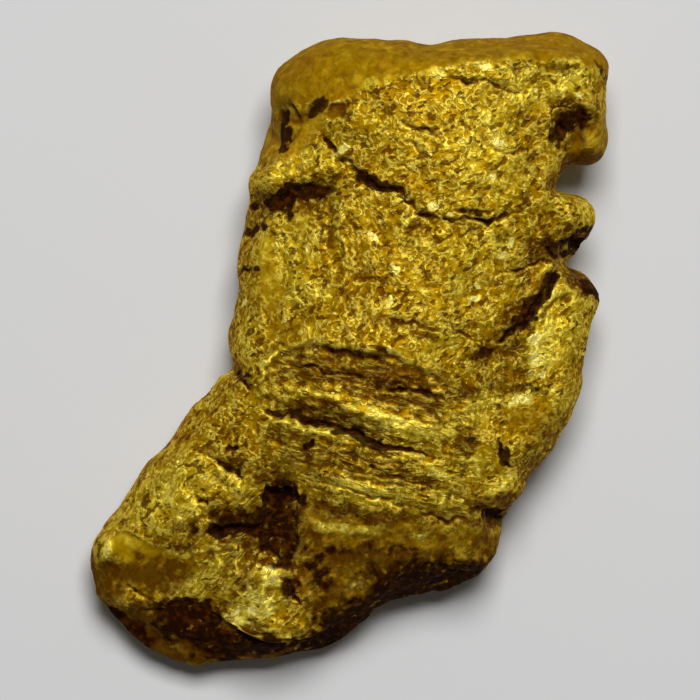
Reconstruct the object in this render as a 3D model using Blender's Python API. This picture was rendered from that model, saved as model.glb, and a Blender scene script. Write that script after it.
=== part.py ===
"""A gold nugget: one lump of native gold, flattened, folded and worn in a stream bed.

It lies on its worn back with its richer face up. +Y points to the rolled end and -Y to the toe.
The shape is worked out in millimetres. An outline is extruded into a slab, and the slab is rounded
into a pebble between an upper and a lower surface. Folds, creases and hollows are then pressed
into it, its back is worn flat where it rests, and the whole is scaled to metres.
"""

from collections import namedtuple

import bmesh
import bpy
import numpy as np
from mathutils import Vector, noise

# Driving dimensions in millimetres: the finished lump measures exactly this.
WIDTH = 12.95
LENGTH = 15.7
THICKNESS = 3.95

MM = 0.001
SLAB_HALF = 1.0
SKIN = 0.10
FINE_SKIN = 0.075
ROUTE_STEP = 0.12
WAIST = 0.45
WORN_OFF = 0.09
FOOT_TOLERANCE = 0.012
TRIANGLES = 8600
TINY = 1e-9

# The least and most that the edge is rounded, and the rounds of smoothing after a remesh.
LEAST_ROUNDING = 0.35
MOST_ROUNDING = 1.6
RELAX_ROUNDS = 2
RELAX_SHARE = 0.5

# One point in this many stands lower than the resting face and is worn off.
LOW_POINTS = 200

# Strokes fade in over the first sixth of their route, from these shares of their height.
FADE = 6.0
STROKE_START = 0.15
STEP_START = 0.1
STEP_EDGE = 0.10
ON_ROUTE = 0.01

# A place belongs to the face or back as its normal turns past the rim: how sharply, from where.
RIM_SHARPNESS = 1.6
RIM_SHARE = 0.35

# A dent falls off as exp(-distance ** 3), so its floor is flatter than a bell's.
DENT_FLATNESS = 3.0

# The outline seen from above, anticlockwise from the left shoulder of the rolled end.
OUTLINE = [
    # left side, from the rolled end down to the neck
    (-2.02, 6.30), (-2.02, 5.80), (-2.12, 5.25), (-2.25, 4.62), (-2.42, 4.25), (-2.54, 3.75),
    (-2.65, 3.00), (-2.82, 2.20), (-2.85, 1.38), (-2.92, 0.75), (-3.00, 0.12), (-2.98, -0.33),
    (-3.20, -0.50), (-3.45, -0.90), (-3.88, -1.27), (-4.15, -1.70), (-4.35, -2.05),
    # the toe
    (-4.60, -2.50), (-4.90, -2.74), (-5.25, -3.17), (-5.65, -3.75), (-6.05, -4.25),
    (-6.40, -4.88), (-6.47, -5.45), (-6.30, -6.12), (-6.00, -6.75), (-5.50, -7.28),
    (-4.75, -7.67), (-3.88, -7.85), (-2.88, -7.86), (-1.88, -7.80), (-1.00, -7.62),
    (-0.25, -7.30), (0.30, -6.88), (0.75, -6.45),
    # lower right
    (1.30, -6.17), (2.00, -6.05), (2.62, -5.95), (3.20, -5.65), (3.55, -5.28), (3.75, -4.85),
    (3.80, -4.50), (4.00, -4.12), (4.22, -3.65), (4.40, -3.23), (4.67, -2.90),
    # the flap on the right, up to its tip
    (5.05, -2.45), (5.33, -1.93), (5.60, -1.38), (5.78, -0.88), (5.83, -0.38), (5.95, 0.12),
    (6.00, 0.62), (6.10, 0.95), (6.25, 1.25), (6.22, 1.48), (6.05, 1.70), (5.80, 1.88),
    (5.50, 2.15), (5.28, 2.28),
    # the knob, and the notches below and above it
    (5.56, 2.36), (5.75, 2.62), (5.90, 2.98), (5.99, 3.33), (5.92, 3.60), (5.75, 3.83),
    (5.45, 3.95), (5.20, 3.94), (5.00, 4.01),
    # right end of the roll
    (5.25, 4.35), (5.38, 4.60), (5.62, 4.66), (6.05, 4.70), (6.33, 4.98), (6.34, 5.38),
    (6.31, 5.75), (6.35, 6.08), (6.41, 6.38), (6.38, 6.70), (6.46, 6.88), (6.47, 7.10),
    (6.35, 7.35), (6.00, 7.62),
    # the rolled end
    (5.45, 7.81), (4.75, 7.86), (3.88, 7.86), (3.12, 7.80), (2.50, 7.70), (1.88, 7.66),
    (1.25, 7.79), (0.55, 7.83), (-0.12, 7.85), (-0.75, 7.74), (-1.20, 7.53), (-1.60, 7.22),
    (-1.88, 6.86),
]

# Spot heights (x, y, z) of the upper surface before folds and creases are pressed in.
FACE_HEIGHTS = [
    # crest of the rolled end
    (-1.5, 6.9, 3.1), (-0.5, 6.5, 3.45), (0.9, 6.9, 3.6), (2.2, 7.0, 3.65), (3.8, 7.2, 3.6),
    (5.2, 7.3, 3.4), (6.1, 7.0, 3.1),
    # the fold lying below it
    (-1.2, 5.0, 3.05), (0.0, 5.6, 3.4), (1.2, 5.5, 3.5), (2.5, 5.8, 3.6), (4.0, 5.8, 3.5),
    (6.0, 5.6, 2.9), (1.8, 4.2, 3.7), (3.2, 4.1, 3.75), (4.5, 4.1, 3.35), (5.0, 4.8, 3.0),
    (-2.2, 4.8, 2.4), (-1.6, 4.2, 2.95),
    # the middle, from the left edge to the right
    (-2.5, 2.2, 2.5), (-1.5, 2.8, 2.95), (-0.8, 2.5, 3.05), (-1.2, 1.2, 3.1), (-2.6, 0.6, 2.5),
    (0.0, 2.8, 3.2), (0.5, 3.2, 3.3), (1.2, 2.2, 3.55), (2.2, 2.5, 3.55), (3.2, 2.5, 3.5),
    (4.2, 2.8, 3.1), (1.2, 0.9, 3.65), (2.5, 0.9, 3.6), (3.5, 1.2, 3.35), (5.5, 3.2, 2.6),
    # the flap and the right side below it
    (5.3, 1.2, 2.65), (5.3, 0.2, 2.8), (4.8, -0.9, 2.85), (5.0, -2.0, 2.6), (3.8, -0.8, 2.65),
    (3.8, -2.0, 2.75), (3.8, -3.4, 2.6),
    # the corrugated belt and the slope below it
    (-1.5, -0.5, 3.15), (0.0, -0.6, 3.5), (1.8, -0.8, 3.6), (2.5, -1.2, 3.35),
    (-1.2, -2.0, 3.15), (0.8, -2.2, 3.45), (2.2, -2.6, 3.2), (-0.2, -3.5, 3.15),
    (1.2, -3.9, 3.05), (2.6, -4.0, 2.75), (3.2, -5.0, 2.0), (1.8, -5.2, 2.2), (0.2, -5.1, 2.5),
    (-0.6, -6.2, 2.0),
    # the toe
    (-2.8, -1.0, 2.55), (-3.6, -1.8, 2.2), (-2.9, -2.2, 2.7), (-4.2, -3.0, 2.35),
    (-3.2, -3.4, 2.85), (-5.0, -4.2, 2.05), (-5.9, -5.2, 1.7), (-4.5, -5.2, 2.1),
    (-3.2, -5.2, 2.2), (-1.9, -4.5, 2.1), (-2.1, -6.4, 2.3), (-1.4, -5.6, 2.2),
    (-3.8, -6.9, 1.5), (-5.1, -6.8, 1.4), (-1.2, -7.0, 1.9),
]

# Spot heights of the lower surface: it rests on its middle, and its rim curls up.
BACK_HEIGHTS = [
    (0.0, 0.0, 0.0), (1.5, 2.5, 0.0), (1.5, -2.5, 0.0), (-1.5, -1.5, 0.0), (-0.5, 2.5, 0.02),
    (3.0, 0.0, 0.0), (3.0, 2.4, 0.03), (4.8, 0.0, 0.35), (5.2, 3.2, 0.9), (5.5, 6.8, 0.6),
    (2.5, 6.8, 0.35),
    (-1.3, 6.5, 0.5), (-2.3, 3.5, 0.35), (-2.5, 1.0, 0.2), (4.5, -3.0, 0.4), (2.8, -5.0, 0.3),
    (0.0, -6.0, 0.22), (-2.5, -5.0, 0.05), (-5.5, -5.5, 0.4), (-4.5, -3.0, 0.3),
    (-3.5, -7.0, 0.35), (2.0, 5.0, 0.08), (4.0, 5.0, 0.25),
]

# How far in from the outline the edge is rounded, as spots (x, y, radius).
EDGE_ROUNDING = [
    (-1.5, 7.2, 1.4), (2.2, 7.7, 1.5), (5.9, 7.6, 1.1), (6.3, 5.4, 0.5), (5.2, 4.4, 0.45),
    (5.9, 3.3, 0.6), (6.1, 1.2, 0.5), (5.8, -0.9, 0.7), (4.7, -2.9, 0.7), (3.8, -4.6, 1.0),
    (2.0, -6.0, 1.3), (-0.2, -7.3, 1.2), (-3.0, -7.8, 1.2), (-6.0, -6.7, 1.2), (-6.3, -4.8, 0.9),
    (-4.7, -2.6, 0.8), (-3.1, -0.4, 0.5), (-2.9, 1.2, 0.5), (-2.5, 4.0, 0.6), (-2.0, 6.0, 0.8),
]

# A crease or ridge: how deep or high, how far it reaches to the left and right of its route.
Stroke = namedtuple("Stroke", "height left right route")

FACE_CREASES = {
    "under_the_upper_fold": Stroke(0.50, 0.16, 0.36, [
        (-0.55, 5.17), (-0.12, 4.60), (0.30, 4.28), (1.00, 4.10), (1.40, 3.85), (1.80, 3.40),
        (2.50, 3.25), (3.70, 3.23), (4.12, 3.45), (4.55, 3.65)]),
    "under_the_left_ridge": Stroke(0.85, 0.26, 0.48, [
        (-2.35, 3.38), (-1.95, 3.73), (-1.25, 3.95), (-0.35, 4.03)]),
    "left_of_the_roll_outer": Stroke(0.70, 0.20, 0.20, [
        (-1.75, 6.20), (-1.62, 5.72), (-1.68, 5.40), (-2.00, 5.15)]),
    "left_of_the_roll_inner": Stroke(0.50, 0.16, 0.14, [
        (-1.35, 5.55), (-1.05, 5.75), (-0.72, 6.20)]),
    "beside_the_flap": Stroke(0.90, 0.20, 0.15, [
        (5.70, 2.35), (5.08, 2.00), (5.12, 1.73), (4.88, 1.43), (4.58, 1.07), (4.30, 0.60),
        (3.75, 0.28), (3.27, -0.05), (2.75, -0.30)]),
    "behind_the_knob": Stroke(0.35, 0.20, 0.14, [
        (3.55, 1.90), (4.45, 2.08), (4.90, 2.30), (4.85, 2.85)]),
    "belt_first_valley": Stroke(0.50, 0.75, 0.28, [
        (-2.25, -0.70), (-1.20, -0.88), (-0.30, -1.05), (1.25, -1.23), (3.10, -1.75)]),
    "belt_second_valley": Stroke(0.50, 0.30, 0.22, [
        (-2.50, -1.40), (-1.25, -1.75), (0.00, -2.12), (1.25, -2.30), (2.05, -2.45),
        (3.00, -2.75)]),
    "belt_third_valley": Stroke(0.24, 0.28, 0.18, [
        (-1.00, -2.60), (0.50, -3.10), (2.25, -3.50), (3.10, -3.62)]),
    "belt_fourth_valley": Stroke(0.26, 0.30, 0.20, [
        (-1.40, -3.60), (0.00, -3.95), (1.25, -4.20), (2.60, -4.25)]),
    "neck_crack": Stroke(0.35, 0.14, 0.14, [(-3.30, -0.22), (-2.73, -0.55), (-2.25, -0.50)]),
    "toe_fold": Stroke(0.24, 0.14, 0.20, [
        (-3.75, -2.50), (-3.10, -2.83), (-2.67, -3.25), (-1.95, -3.58)]),
    "toe_slit": Stroke(1.10, 0.36, 0.15, [
        (-3.95, -4.45), (-3.05, -4.48), (-2.38, -4.42), (-1.75, -4.30)]),
    "toe_gully": Stroke(0.95, 0.32, 0.36, [
        (-1.95, -3.20), (-1.82, -3.85), (-1.75, -4.50), (-1.60, -5.20)]),
    "toe_crack": Stroke(0.40, 0.13, 0.13, [
        (-1.50, -4.80), (-1.43, -5.33), (-1.55, -5.75), (-1.10, -6.40)]),
    "above_the_tongue": Stroke(0.14, 0.14, 0.12, [
        (-5.80, -4.30), (-5.00, -4.58), (-4.00, -4.95)]),
    "under_the_tongue": Stroke(0.16, 0.16, 0.12, [(-5.95, -5.90), (-4.80, -6.00)]),
    "side_notch": Stroke(0.55, 0.16, 0.24, [(2.65, -4.16), (3.25, -4.08), (4.10, -4.32)]),
    "right_pit": Stroke(0.60, 0.20, 0.20, [(3.70, -2.00), (3.83, -2.55), (3.97, -2.90)]),
    "long_trough": Stroke(0.20, 0.28, 0.22, [
        (-0.32, 3.75), (-0.17, 3.12), (-0.15, 2.50), (-0.32, 1.40)]),
    "fold_line_on_the_roll": Stroke(0.12, 0.12, 0.14, [
        (1.95, 6.72), (3.25, 6.78), (3.75, 6.70), (4.45, 6.35)]),
}

FACE_RIDGES = {
    "roll_crest": Stroke(0.14, 0.30, 0.22, [
        (-1.85, 6.25), (-0.50, 6.20), (0.05, 6.33), (0.88, 6.72), (1.75, 6.92), (3.25, 7.05),
        (4.75, 7.25), (6.05, 7.10)]),
    "left_ridge": Stroke(0.38, 0.45, 0.26, [
        (-2.40, 3.83), (-1.62, 4.27), (-0.75, 4.62), (-0.05, 4.60)]),
    "belt_first_crest": Stroke(0.16, 0.50, 0.30, [
        (-1.75, 0.07), (-0.12, -0.05), (1.00, -0.28), (2.00, -0.75), (3.00, -1.10)]),
    "belt_second_crest": Stroke(0.20, 0.30, 0.26, [
        (-2.05, -1.12), (-0.25, -1.45), (1.25, -1.72), (2.75, -2.15)]),
    "belt_third_crest": Stroke(0.14, 0.26, 0.26, [
        (-2.30, -1.78), (-1.25, -2.05), (-0.45, -2.44), (1.25, -2.80), (2.95, -3.27)]),
    "belt_fourth_crest": Stroke(0.14, 0.24, 0.26, [
        (-1.15, -3.05), (0.50, -3.50), (2.35, -3.78)]),
    "belt_fifth_crest": Stroke(0.12, 0.26, 0.28, [(-1.35, -4.10), (-0.12, -4.35), (1.15, -4.68)]),
    "flap_crest": Stroke(0.26, 0.30, 0.24, [
        (5.80, 1.62), (4.95, 1.05), (4.53, 0.45), (4.58, -0.25), (4.95, -0.80)]),
    "patch_ridge": Stroke(0.28, 0.42, 0.40, [
        (-2.08, -5.25), (-2.15, -6.00), (-2.45, -6.90)]),
    "toe_rib": Stroke(0.26, 0.34, 0.36, [(-2.55, -4.70), (-3.30, -5.50), (-4.25, -6.20)]),
    "toe_rim": Stroke(0.14, 0.20, 0.20, [(-4.95, -3.10), (-5.70, -4.20), (-6.25, -5.30)]),
    "post_beside_the_pocket": Stroke(0.18, 0.20, 0.24, [(6.05, 6.10), (6.10, 5.50), (6.00, 4.85)]),
}

# A step: the left side of its route stands higher than the right by this much.
FACE_STEPS = {
    "shield_left_edge": Stroke(0.26, 0.9, 0.5, [
        (0.10, 6.35), (-0.22, 5.62), (-0.10, 5.00), (1.05, 4.20)]),
    "recess_edge": Stroke(-0.30, 0.5, 0.8, [
        (-1.60, 0.10), (-2.02, -0.33), (-2.15, -0.70), (-2.10, -1.20)]),
    "upper_left_panel_edge": Stroke(0.14, 0.5, 0.4, [
        (-1.25, 3.12), (-0.82, 2.62), (-0.80, 2.10)]),
    "lower_left_panel_edge": Stroke(0.14, 0.5, 0.4, [(-0.40, 1.60), (-0.12, 1.18), (0.18, 0.65)]),
    "tongue_edge": Stroke(0.26, 0.5, 0.6, [(-6.30, -5.28), (-5.25, -5.15), (-4.10, -5.22)]),
    "toe_brow": Stroke(0.55, 0.35, 0.85, [
        (-6.40, -6.20), (-5.00, -6.30), (-3.75, -6.33), (-3.20, -6.62), (-2.50, -7.08),
        (-1.62, -7.20), (-0.80, -7.05), (-0.20, -6.50)]),
    "gully_right_wall": Stroke(0.35, 0.8, 0.3, [
        (-1.35, -3.30), (-1.25, -4.00), (-1.28, -4.80), (-1.40, -5.50)]),
    "shield_right_lip": Stroke(-0.55, 0.6, 0.3, [
        (4.92, 6.30), (5.00, 5.62), (5.12, 5.10), (5.32, 4.55)]),
    "roll_over_the_pocket": Stroke(0.45, 0.5, 0.5, [(4.80, 6.10), (5.40, 6.08), (6.10, 5.95)]),
    "lower_right_brow": Stroke(0.30, 0.6, 0.8, [
        (-0.80, -5.40), (0.50, -5.20), (1.80, -5.20), (3.10, -5.30), (3.80, -5.00)]),
}

# A hollow (depth) or a swelling (minus depth), as an ellipse: centre, half axes and turn.
Dent = namedtuple("Dent", "depth x y half_length half_width turn")

FACE_DENTS = {
    "pocket_in_the_roll_end": Dent(0.85, 5.38, 5.50, 0.55, 0.42, 70),
    "under_the_knob": Dent(0.75, 5.58, 2.58, 0.36, 0.28, 40),
    "head_of_the_gully": Dent(0.45, -1.80, -3.65, 0.34, 0.28, 0),
    "hollow_under_the_brow": Dent(0.22, -3.85, -7.00, 1.20, 0.45, -8),
    "right_hollow": Dent(0.28, 3.85, -0.65, 0.95, 0.55, 35),
    "small_right_pit": Dent(0.30, 2.88, -2.25, 0.24, 0.20, 0),
    "left_bay": Dent(0.25, -2.35, 3.00, 0.35, 0.28, 60),
    "knob": Dent(-0.30, 5.45, 3.30, 0.60, 0.50, 0),
    "toe_bulge": Dent(-0.28, -3.75, -3.30, 1.20, 0.60, -20),
    "right_lump": Dent(-0.20, 3.95, -3.35, 0.50, 0.28, -10),
    "low_lump": Dent(-0.18, 2.95, -5.10, 0.40, 0.25, 20),
    "patch": Dent(-0.12, -1.95, -6.10, 0.80, 0.70, 0),
}

BACK_CREASES = {
    "edge_of_the_rolled_lip": Stroke(0.40, 0.18, 0.40, [
        (-2.30, 5.05), (-1.00, 5.35), (0.40, 5.00), (1.70, 5.30), (3.10, 4.85), (4.60, 5.10),
        (6.50, 4.80)]),
    "behind_the_flap": Stroke(0.45, 0.20, 0.26, [
        (5.70, 2.25), (4.75, 1.75), (4.25, 0.95), (3.85, -0.40), (4.10, -1.60)]),
    "neck_fold": Stroke(0.32, 0.24, 0.20, [
        (-3.30, -0.30), (-2.20, -1.10), (-1.40, -2.40), (-1.50, -3.60)]),
    "toe_furrow": Stroke(0.28, 0.26, 0.18, [
        (-6.20, -4.60), (-4.80, -5.10), (-3.40, -5.00), (-2.20, -5.60), (-0.60, -6.20)]),
    "low_furrow": Stroke(0.22, 0.22, 0.20, [(3.90, -4.30), (2.70, -4.10), (1.60, -4.60)]),
}

BACK_DENTS = {
    "broad_hollow": Dent(0.32, 2.60, 0.60, 1.10, 0.60, 30),
    "toe_cup": Dent(0.28, -4.30, -4.20, 1.00, 0.60, 50),
    "upper_pit": Dent(0.38, -0.70, 4.10, 0.50, 0.32, 15),
    "lower_pit": Dent(0.30, 0.60, -4.90, 0.42, 0.30, -30),
    "side_cup": Dent(0.24, -1.90, 1.80, 0.75, 0.40, 85),
}

# Seams in the sides, where the layers of the fold meet: depth, reach and a route in space.
Seam = namedtuple("Seam", "depth reach route")

SIDE_SEAMS = {
    "end_of_the_roll": Seam(0.30, 0.20, [
        (6.45, 4.80, 1.20), (6.55, 5.60, 1.50), (6.55, 6.40, 1.85), (6.50, 7.00, 1.60)]),
    "left_upper": Seam(0.28, 0.20, [
        (-2.10, 6.30, 1.50), (-2.25, 5.20, 1.75), (-2.60, 4.00, 1.55), (-2.90, 2.60, 1.30)]),
    "left_lower": Seam(0.22, 0.18, [
        (-2.95, 1.60, 1.55), (-3.05, 0.60, 1.40), (-3.20, -0.50, 1.10), (-4.00, -1.55, 0.95)]),
    "toe": Seam(0.24, 0.22, [
        (-5.40, -3.40, 0.80), (-6.40, -4.70, 0.75), (-6.50, -5.80, 0.65), (-5.80, -7.10, 0.60)]),
    "under_the_toe": Seam(0.20, 0.20, [
        (-3.60, -7.95, 0.70), (-2.00, -7.90, 0.80), (-0.40, -7.50, 0.95), (0.80, -6.55, 0.90)]),
    "lower_right": Seam(0.26, 0.20, [
        (2.60, -6.10, 0.80), (3.70, -5.20, 1.00), (4.20, -4.00, 1.20), (4.80, -2.90, 1.10)]),
    "flap": Seam(0.24, 0.18, [
        (5.50, -1.80, 1.20), (5.95, -0.60, 1.45), (6.10, 0.60, 1.30), (6.35, 1.30, 1.40)]),
    "across_the_roll": Seam(0.14, 0.22, [
        (-1.20, 7.70, 1.30), (0.60, 8.00, 1.60), (2.40, 7.85, 1.45), (4.40, 8.05, 1.70),
        (6.10, 7.75, 1.50)]),
}

# Uneven lumps all over: (size of a lump, how far it stands out).
LUMPS = [(1.7, 0.12), (0.75, 0.055)]
FACE_SHARE_OF_LUMPS = 0.5

# How far the routes wander from their smooth curves, over what distance, on the face and back.
FACE_WANDER = 0.05
BACK_WANDER = 0.22
WANDER_LENGTH = 0.8

GOLD_COLOUR = (0.80, 0.55, 0.11, 1.0)
GOLD_ROUGHNESS = 0.38


def clear_scene():
    for item in list(bpy.data.objects):
        bpy.data.objects.remove(item, do_unlink=True)


def smooth_route(points, closed=False):
    """A Catmull-Rom curve through hand-placed points, in steps of about ROUTE_STEP."""
    points = [np.array(point, dtype=float) for point in points]
    if closed:
        points = [points[-1], *points, points[0], points[1]]
    else:
        points = [2 * points[0] - points[1], *points, 2 * points[-1] - points[-2]]
    route = []
    for before, start, end, after in zip(points, points[1:], points[2:], points[3:]):
        steps = max(1, round(float(np.linalg.norm(end - start)) / ROUTE_STEP))
        for t in np.arange(steps) / steps:
            route.append(0.5 * (
                2 * start
                + (end - before) * t
                + (2 * before - 5 * start + 4 * end - after) * t ** 2
                + (3 * start - before - 3 * end + after) * t ** 3
            ))
    route.append(points[-2])
    return np.array(route)


def follow(points, route):
    """Each point's signed distance to the left of a flat route, its share of the way along the
    route, and the direction from the route to the point."""
    nearest = np.full(len(points), np.inf)
    across = np.zeros(len(points))
    along = np.zeros(len(points))
    away = np.zeros((len(points), 2))
    travelled = 0.0
    for start, end in zip(route, route[1:]):
        step = end - start
        length = np.hypot(*step)
        share = np.clip((points - start) @ step / length ** 2, 0.0, 1.0)
        offset = points - (start + share[:, None] * step)
        distance = np.hypot(offset[:, 0], offset[:, 1])
        closer = distance < nearest
        side = np.where(step[0] * offset[:, 1] >= step[1] * offset[:, 0], 1.0, -1.0)
        nearest[closer] = distance[closer]
        across[closer] = (side * distance)[closer]
        along[closer] = (travelled + share * length)[closer]
        on_route = distance < ON_ROUTE
        left = np.array([-step[1], step[0]]) / length
        outward = offset / np.maximum(distance, TINY)[:, None] * side[:, None]
        away[closer] = np.where(on_route[:, None], left, outward)[closer]
        travelled += length
    return across, along / travelled, away


def spread(spots, points):
    """A smooth surface through spot values: a thin-plate spline."""
    spots = np.array(spots)
    places = spots[:, :2]

    def bending(here, there):
        squared = ((here[:, None] - there[None]) ** 2).sum(axis=2)
        return squared * np.log(squared + TINY)

    def slope_terms(here):
        return np.column_stack([np.ones(len(here)), here])

    count = len(spots)
    system = np.zeros((count + 3, count + 3))
    system[:count, :count] = bending(places, places)
    system[:count, count:] = slope_terms(places)
    system[count:, :count] = slope_terms(places).T
    weights = np.linalg.solve(system, np.append(spots[:, 2], np.zeros(3)))
    return bending(points, places) @ weights[:count] + slope_terms(points) @ weights[count:]


def ease(value):
    value = np.clip(value, 0.0, 1.0)
    return value * value * (3.0 - 2.0 * value)


def read_points(mesh):
    points = np.empty(len(mesh.vertices) * 3)
    mesh.vertices.foreach_get("co", points)
    return points.reshape(-1, 3)


def read_normals(mesh):
    normals = np.empty(len(mesh.vertices) * 3)
    mesh.vertex_normals.foreach_get("vector", normals)
    return normals.reshape(-1, 3)


def write_points(mesh, points):
    mesh.vertices.foreach_set("co", points.ravel())
    mesh.update()


def apply_modifiers(nugget):
    """Bakes the object's modifiers into its mesh."""
    evaluated = nugget.evaluated_get(bpy.context.evaluated_depsgraph_get())
    mesh = bpy.data.meshes.new_from_object(evaluated)
    nugget.modifiers.clear()
    nugget.data = mesh


def reskin(nugget, size):
    """Rebuilds the surface as even squares of one size, which joins what has folded together."""
    remesh = nugget.modifiers.new("even_skin", "REMESH")
    remesh.mode = "VOXEL"
    remesh.voxel_size = size
    apply_modifiers(nugget)


def extrude_outline(outline):
    """A slab that fills the outline."""
    shape = bmesh.new()
    floor = shape.faces.new([shape.verts.new((x, y, -SLAB_HALF)) for x, y in outline])
    raised = bmesh.ops.extrude_face_region(shape, geom=[floor])
    for item in raised["geom"]:
        if isinstance(item, bmesh.types.BMVert):
            item.co.z = SLAB_HALF
    bmesh.ops.recalc_face_normals(shape, faces=shape.faces)
    mesh = bpy.data.meshes.new("nugget")
    shape.to_mesh(mesh)
    shape.free()
    nugget = bpy.data.objects.new("nugget", mesh)
    bpy.context.collection.objects.link(nugget)
    reskin(nugget, SKIN)
    return nugget


def swell(nugget, outline):
    """Rounds the slab's square edges and moves its faces to the upper and lower surfaces."""
    points = read_points(nugget.data)
    inside, _, inward = follow(points[:, :2], outline)
    radius = np.clip(spread(EDGE_ROUNDING, points[:, :2]), LEAST_ROUNDING, MOST_ROUNDING)
    sideways = np.clip((radius - inside) / radius, 0.0, 1.0)
    upward = np.clip(points[:, 2] / SLAB_HALF, -1.0, 1.0)
    to_circle = np.maximum(np.abs(sideways), np.abs(upward)) / np.hypot(sideways, upward)
    moved_in = radius * (sideways - sideways * to_circle)
    points[:, :2] += inward * moved_in[:, None]
    face = spread(FACE_HEIGHTS, points[:, :2])
    back = spread(BACK_HEIGHTS, points[:, :2])
    waist = back + WAIST * (face - back)
    lift = upward * to_circle
    points[:, 2] = waist + np.where(lift > 0, lift * (face - waist), lift * (waist - back))
    write_points(nugget.data, points)


def bell(across, left, right):
    """A rounded bump across a route, with its own reach on each side."""
    return np.exp(-((across / np.where(across > 0, left, right)) ** 2))


def stroke_height(points, stroke):
    route = smooth_route(stroke.route)
    across, along, _ = follow(points, route)
    ends = ease(np.minimum(along, 1.0 - along) * FADE + STROKE_START)
    return stroke.height * bell(across, stroke.left, stroke.right) * ends


def step_height(points, stroke):
    across, along, _ = follow(points, smooth_route(stroke.route))
    side = 0.5 * np.tanh(across / STEP_EDGE)
    ends = ease(np.minimum(along, 1.0 - along) * FADE + STEP_START)
    return stroke.height * side * bell(across, stroke.left, stroke.right) * ends


def dent_depth(points, dent):
    turn = np.radians(dent.turn)
    x = points[:, 0] - dent.x
    y = points[:, 1] - dent.y
    lengthways = (x * np.cos(turn) + y * np.sin(turn)) / dent.half_length
    sideways = (y * np.cos(turn) - x * np.sin(turn)) / dent.half_width
    return dent.depth * np.exp(-(np.hypot(lengthways, sideways) ** DENT_FLATNESS))


def seam_depth(points, seam):
    """Depth of a seam by each point's distance to its route in space."""
    route = smooth_route(seam.route)
    nearest = np.full(len(points), np.inf)
    for place in route:
        nearest = np.minimum(nearest, np.linalg.norm(points - place, axis=1))
    return seam.depth * np.exp(-((nearest / seam.reach) ** 2))


def lump_height(points):
    height = np.zeros(len(points))
    for size, standing in LUMPS:
        height += [standing * noise.noise(Vector(point) / size) for point in points]
    return height


def press_relief(nugget):
    """Moves the surface along its own normals to press in folds, creases, hollows and lumps."""
    points = read_points(nugget.data)
    normals = read_normals(nugget.data)
    stray = np.array([noise.noise_vector(Vector(point) / WANDER_LENGTH) for point in points])
    seen = points[:, :2] + FACE_WANDER * stray[:, :2]
    face = sum(stroke_height(seen, ridge) for ridge in FACE_RIDGES.values())
    face += sum(step_height(seen, step) for step in FACE_STEPS.values())
    face -= sum(stroke_height(seen, crease) for crease in FACE_CREASES.values())
    face -= sum(dent_depth(seen, dent) for dent in FACE_DENTS.values())
    hidden = points[:, :2] + BACK_WANDER * stray[:, :2]
    back = -sum(stroke_height(hidden, crease) for crease in BACK_CREASES.values())
    back -= sum(dent_depth(hidden, dent) for dent in BACK_DENTS.values())
    back *= 1.0 + stray[:, 2]
    upper = ease(normals[:, 2] * RIM_SHARPNESS + RIM_SHARE)
    lower = ease(-normals[:, 2] * RIM_SHARPNESS + RIM_SHARE)
    height = upper * face + lower * back
    height -= sum(seam_depth(points, seam) for seam in SIDE_SEAMS.values())
    height += lump_height(points) * (1.0 - (1.0 - FACE_SHARE_OF_LUMPS) * upper)
    write_points(nugget.data, points + normals * height[:, None])


def keep_largest_body(nugget):
    """Drops any crumb that a remesh leaves apart from the lump."""
    shape = bmesh.new()
    shape.from_mesh(nugget.data)
    unseen = set(shape.verts)
    bodies = []
    while unseen:
        body = set()
        edge_of_body = [unseen.pop()]
        while edge_of_body:
            vertex = edge_of_body.pop()
            body.add(vertex)
            for edge in vertex.link_edges:
                other = edge.other_vert(vertex)
                if other in unseen:
                    unseen.discard(other)
                    edge_of_body.append(other)
        bodies.append(body)
    bodies.sort(key=len)
    crumbs = [vertex for body in bodies[:-1] for vertex in body]
    bmesh.ops.delete(shape, geom=crumbs, context="VERTS")
    shape.to_mesh(nugget.data)
    shape.free()


def relax(nugget):
    """Takes the stair steps of the remesh out of the surface."""
    smooth = nugget.modifiers.new("relax", "SMOOTH")
    smooth.factor = RELAX_SHARE
    smooth.iterations = RELAX_ROUNDS
    apply_modifiers(nugget)


def thin_out(nugget):
    """Leaves as many triangles as the lump's form needs."""
    triangulate = nugget.modifiers.new("triangles", "TRIANGULATE")
    triangulate.quad_method = "BEAUTY"
    apply_modifiers(nugget)
    decimate = nugget.modifiers.new("thin_out", "DECIMATE")
    decimate.ratio = TRIANGLES / len(nugget.data.polygons)
    apply_modifiers(nugget)


def wear_flat(nugget):
    """Wears off whatever stands lower than the resting face."""
    points = read_points(nugget.data)
    lowest = np.sort(points[:, 2])[len(points) // LOW_POINTS]
    points[:, 2] = np.maximum(points[:, 2] - lowest, WORN_OFF)
    write_points(nugget.data, points)


def level_foot(nugget):
    """Brings the corners of the resting face back into one plane after the thinning."""
    points = read_points(nugget.data)
    foot = points[:, 2].min()
    points[points[:, 2] < foot + FOOT_TOLERANCE, 2] = foot
    write_points(nugget.data, points)


def bring_to_size(nugget):
    """Scales the lump to its driving dimensions in metres, centred over the middle of its foot."""
    points = read_points(nugget.data)
    low = points.min(axis=0)
    high = points.max(axis=0)
    size = np.array([WIDTH, LENGTH, THICKNESS]) * MM
    foot = np.array([(low[0] + high[0]) / 2, (low[1] + high[1]) / 2, low[2]])
    write_points(nugget.data, (points - foot) / (high - low) * size)


def give_gold(nugget):
    gold = bpy.data.materials.new("native_gold")
    gold.use_nodes = True
    surface = gold.node_tree.nodes["Principled BSDF"]
    surface.inputs["Base Color"].default_value = GOLD_COLOUR
    surface.inputs["Metallic"].default_value = 1.0
    surface.inputs["Roughness"].default_value = GOLD_ROUGHNESS
    nugget.data.materials.append(gold)


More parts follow.
